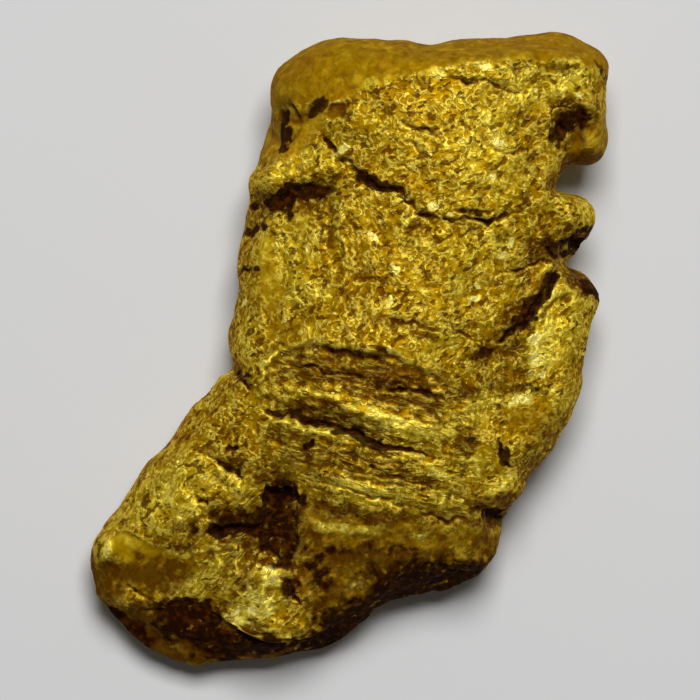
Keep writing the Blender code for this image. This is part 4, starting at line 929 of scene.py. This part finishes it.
def blend(amount, first, second):
    node = nodes.new("ShaderNodeMix")
    node.data_type = "RGBA"
    factor, colour_a, colour_b = node.inputs[0], node.inputs[6], node.inputs[7]
    for socket, value in ((factor, amount), (colour_a, first), (colour_b, second)):
        if isinstance(value, tuple):
            socket.default_value = (*value, 1.0)
        elif isinstance(value, (int, float)):
            socket.default_value = value
        else:
            links.new(value, socket)
    return node.outputs[2]


def threshold(value, low, high):
    """0 up to the low value, 1 from the high one."""
    node = nodes.new("ShaderNodeMapRange")
    node.interpolation_type = "SMOOTHSTEP"
    node.inputs["From Min"].default_value = low
    node.inputs["From Max"].default_value = high
    links.new(value, node.inputs["Value"])
    return node.outputs["Result"]


def lines(scale, width, stretch=1.0, turn=0.0):
    """Wormy lines of 1 on 0, where a mottle crosses its middle value."""
    away = maths("ABSOLUTE", minus(mottle(scale, 0.5, stretch, turn), 0.5), 0.0)
    return threshold(away, width, width * 0.3)


def either(amount, first, second):
    """The first value where the amount is 0, the second where it is 1."""
    return maths("ADD", first, times(minus(second, first), amount))


smooth = kept("smoothness")
granular = minus(1.0, smooth)
loops = either(kept("toe"), lines(5400.0, 0.13), lines(6400.0, 0.14, 4.0, 0.85))
loops = either(kept("belt"), loops, lines(6600.0, 0.13, 2.6, -0.2))
loops = times(loops, threshold(mottle(2600.0), 0.42, 0.58))
gaps = either(kept("belt"), mottle(7200.0, 1.0, 1.6, 0.5), mottle(7000.0, 1.0, 4.0, -0.2))
gaps = times(threshold(gaps, 0.45, 0.38), threshold(mottle(1900.0), 0.64, 0.44))
dots = threshold(mottle(6400.0, 1.0), 0.60, 0.64)
height = minus(maths("ADD", loops, times(dots, 0.8)), times(gaps, 0.8))
height = maths("ADD", height, times(mottle(12000.0, 2.0), 0.5))
height = times(height, most(granular, 0.15))
bump = nodes.new("ShaderNodeBump")
bump.inputs["Strength"].default_value = 1.0
bump.inputs["Distance"].default_value = BUMP_DEPTH
links.new(height, bump.inputs["Height"])
links.new(bump.outputs["Normal"], surface.inputs["Normal"])

fray = minus(times(mottle(4200.0, 3.0), 3.0), 0.5)


def frayed(name, low, high):
    """A layer's marks with broken edges: 0 up to the low amount, 1 from the high one."""
    return threshold(times(kept(name), fray), low, high)


soiled_and_shaded = frayed("dirt_and_painted_shade", 0.25, 0.70)
stained_and_shaded = frayed("stain_and_painted_shade", 0.05, 0.85)
painted_highlight_marks = frayed("painted_highlight", 0.10, 0.90)
browned = threshold(mottle(2700.0, 3.0), 0.50, 0.36)
paler = threshold(mottle(3500.0, 2.0), 0.54, 0.68)
# Bright: paler worm grains and dots, with painted highlight on the crests of the grain.
bright = most(most(times(loops, 0.8), dots), threshold(kept("crest"), 0.66, 0.95))
shine = maths("ADD", times(painted_highlight_marks, 0.45), times(granular, 0.66), True)
shine = times(shine, minus(1.0, times(stained_and_shaded, 0.7)))
# Dark: gaps of the grain, with painted shade in the fine hollows between crests.
dark = most(times(gaps, 0.85), times(threshold(kept("crest"), 0.38, 0.12), 0.6))
# Painted sparkles: rare bright specks of painted highlight on the grainy face.
painted_sparkles = threshold(mottle(5200.0, 0.5), 0.75, 0.765)
glint = maths("ADD", times(bright, 0.7), 0.3)
# Dark soil tone, used for dirt and for painted shade.
soil_and_shade = blend(threshold(mottle(5200.0), 0.45, 0.7), (0.014, 0.002, 0.0008), (0.07, 0.017, 0.001))
tone = blend(mottle(900.0, 3.0), (0.42, 0.185, 0.0004), (0.37, 0.235, 0.0008))
# Tone: random browns and paler patches, then painted highlight, stain and dirt with painted shade, paler
# grain with painted highlight on crests, painted shade in creases and hollows, painted sparkles, glints and
# flashes.
for where, strength, colour in (
        (browned, 0.65, (0.25, 0.115, 0.0008)),
        (paler, 0.5, (0.66, 0.43, 0.010)),
        (painted_highlight_marks, 0.6, (0.74, 0.54, 0.02)),
        (stained_and_shaded, 0.88, (0.098, 0.027, 0.0005)),
        (bright, shine, (0.95, 0.74, 0.085)),
        (dark, times(granular, 0.95), (0.085, 0.018, 0.0005)),
        (kept("crevice"), 0.8, (0.10, 0.022, 0.001)),
        (kept("shade"), 0.6, (0.07, 0.012, 0.001)),
        (painted_sparkles, minus(granular, stained_and_shaded, True), (0.86, 0.70, 0.12)),
        (frayed("painted_highlight", 0.80, 1.20), glint, (1.0, 0.83, 0.12)),
        (frayed("painted_highlight", 1.45, 2.2), 1.0, (1.0, 0.84, 0.22)),
        (soiled_and_shaded, 0.95, soil_and_shade)):
    tone = blend(times(where, strength), tone, colour)
links.new(tone, surface.inputs["Base Color"])
dull = most(most(kept("crevice"), soiled_and_shaded), times(smooth, 0.6))
links.new(minus(0.5, times(dull, 0.45)), surface.inputs["Metallic"])
links.new(maths("ADD", times(dull, 0.25), 0.55), surface.inputs["Roughness"])
mesh.materials.clear()
mesh.materials.append(gold)

mesh.transform(Matrix.Scale(MM, 4))
mesh.shade_smooth()
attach(nugget, "root")
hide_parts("nugget")

# ------------------------------
# Setting: the lump lies on a plain pale paper floor. One soft square light stands beyond its
# rolled end, and the camera looks straight down on it.

FLOOR_HALF = 0.5
PAPER_GREY = (0.75, 0.75, 0.75, 1.0)
ROOM_GREY = (0.06, 0.06, 0.06, 1.0)
KEY_PLACE = Vector((0.02, 0.115, 0.235))
KEY_SIZE = 0.12
KEY_POWER = 0.62
VIEW_WIDTH = 0.0175
VIEW_HEIGHT = 0.25
MID_HEIGHT = 0.002

floor_shape = bmesh.new()
bmesh.ops.create_grid(floor_shape, x_segments=1, y_segments=1, size=FLOOR_HALF)
floor_mesh = bpy.data.meshes.new("floor")
floor_shape.to_mesh(floor_mesh)
floor_shape.free()
floor = bpy.data.objects.new("floor", floor_mesh)
bpy.context.scene.collection.objects.link(floor)
paper = bpy.data.materials.new("pale_paper")
paper.use_nodes = True
paper.node_tree.nodes["Principled BSDF"].inputs["Base Color"].default_value = PAPER_GREY
paper.node_tree.nodes["Principled BSDF"].inputs["Roughness"].default_value = 0.9
floor_mesh.materials.append(paper)

lamp = bpy.data.lights.new("key", "AREA")
lamp.shape = "SQUARE"
lamp.size = KEY_SIZE
lamp.energy = KEY_POWER
key = bpy.data.objects.new("key", lamp)
key.location = KEY_PLACE
key.rotation_euler = (-KEY_PLACE).to_track_quat("-Z", "Y").to_euler()
bpy.context.scene.collection.objects.link(key)

world = bpy.data.worlds.new("room")
world.use_nodes = True
world.node_tree.nodes["Background"].inputs["Color"].default_value = ROOM_GREY
bpy.context.scene.world = world

camera_data = bpy.data.cameras.new("camera")
camera_data.lens = camera_data.sensor_width * (VIEW_HEIGHT - MID_HEIGHT) / VIEW_WIDTH
camera_data.clip_start = 0.01
camera_data.clip_end = 5.0
camera = bpy.data.objects.new("camera", camera_data)
camera.location = (0.0, 0.0, VIEW_HEIGHT)
bpy.context.scene.collection.objects.link(camera)
bpy.context.scene.camera = camera
bpy.context.scene.view_settings.view_transform = "Standard"
